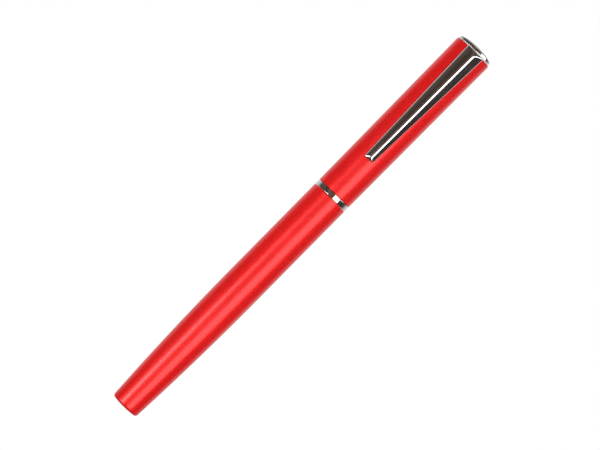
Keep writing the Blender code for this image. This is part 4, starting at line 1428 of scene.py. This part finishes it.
def add_camera(lens):
    """A camera almost straight above the pen, turned so that the pen slants."""
    camera = bpy.data.cameras.new("camera")
    camera.sensor_width = 36.0
    camera.lens = lens
    camera.clip_start = 0.05
    camera.clip_end = 20.0
    viewer = add_object("camera", camera)
    viewer.location = CAMERA_PLACE
    back = (viewer.location - Vector(CAMERA_TARGET)).normalized()
    up = back.cross(Vector(CAMERA_RIGHT)).normalized()
    right = up.cross(back).normalized()
    turn = Matrix((right, up, back)).transposed()
    viewer.rotation_mode = "QUATERNION"
    viewer.rotation_quaternion = turn.to_quaternion()
    bpy.context.scene.camera = viewer


class PEN_OT_stage(bpy.types.Operator):
    """Build the floor, the lights and the camera."""

    bl_idname = "pen.stage"
    bl_label = "Stage"

    def execute(self, context):
        stage = context.scene.pen_stage
        context.scene.view_settings.view_transform = "Standard"
        shape = bmesh.new()
        bmesh.ops.create_grid(shape, x_segments=8, y_segments=8, size=2.0)
        floor = add_object("floor", mesh_of(shape, "floor"))
        floor.data.materials.append(paper_with_painted_glow())
        floor.location.z = FLOOR_HEIGHT
        studio_world(stage.fill)
        area_light("key_box", over_pen(-0.09, -29.5), -0.09, (0.66, 0.33), stage.key)
        area_light("far_box", over_pen(-0.27, 33), -0.27, (0.50, 0.14), stage.second)
        area_light("corner_box", (-0.28, 0.34, 0.37), 0.026, (0.30, 0.30), stage.corner)
        area_light("end_box", (0.34, -0.45, 0.20), 0.067, (0.30, 0.40), stage.end)
        area_light("top_box", (0.0, 0.0, 0.7), 0.0, (1.2, 1.2), stage.top, glossy=False)
        add_camera(stage.lens)
        return {"FINISHED"}


# ---------------------------------------------------------------- add-on
OPERATORS = (
    PEN_OT_stage,
    PEN_OT_barrel_shell,
    PEN_OT_barrel_bush,
    PEN_OT_refill_spring,
    PEN_OT_centre_ring,
    PEN_OT_grip_section,
    PEN_OT_thread_sleeve,
    PEN_OT_nose_cone,
    PEN_OT_refill_case,
    PEN_OT_refill_ink,
    PEN_OT_writing_point,
    PEN_OT_cap_shell,
    PEN_OT_inner_cap,
    PEN_OT_finial,
    PEN_OT_clip,
)


class PEN_PT_panel(bpy.types.Panel):
    """Lists the pen's sizes, colours and pieces."""

    bl_idname = "PEN_PT_panel"
    bl_label = "Rollerball Pen"
    bl_space_type = "VIEW_3D"
    bl_region_type = "UI"
    bl_category = "Pen"

    def draw(self, context):
        scene = context.scene
        for title, group in (
                ("Sizes", scene.pen_sizes),
                ("Colours", scene.pen_colours),
                ("Stage", scene.pen_stage)):
            box = self.layout.box()
            box.label(text=title)
            for name in type(group).__annotations__:
                box.prop(group, name)
        for operator in OPERATORS:
            self.layout.operator(operator.bl_idname)


GROUPS = (
    ("pen_sizes", PenSizes),
    ("pen_colours", PenColours),
    ("pen_stage", PenStage),
)


def register():
    """Register the classes and hang the settings on the scene."""
    for name, group in GROUPS:
        bpy.utils.register_class(group)
        setattr(bpy.types.Scene, name, bpy.props.PointerProperty(type=group))
    for operator in OPERATORS:
        bpy.utils.register_class(operator)
    bpy.utils.register_class(PEN_PT_panel)


def unregister():
    """Take everything away again."""
    bpy.utils.unregister_class(PEN_PT_panel)
    for operator in reversed(OPERATORS):
        bpy.utils.unregister_class(operator)
    for name, group in reversed(GROUPS):
        delattr(bpy.types.Scene, name)
        bpy.utils.unregister_class(group)


def main():
    """Build every piece in order."""
    register()
    for operator in OPERATORS:
        family, action = operator.bl_idname.split(".")
        getattr(getattr(bpy.ops, family), action)()


if __name__ == "__main__":
    main()
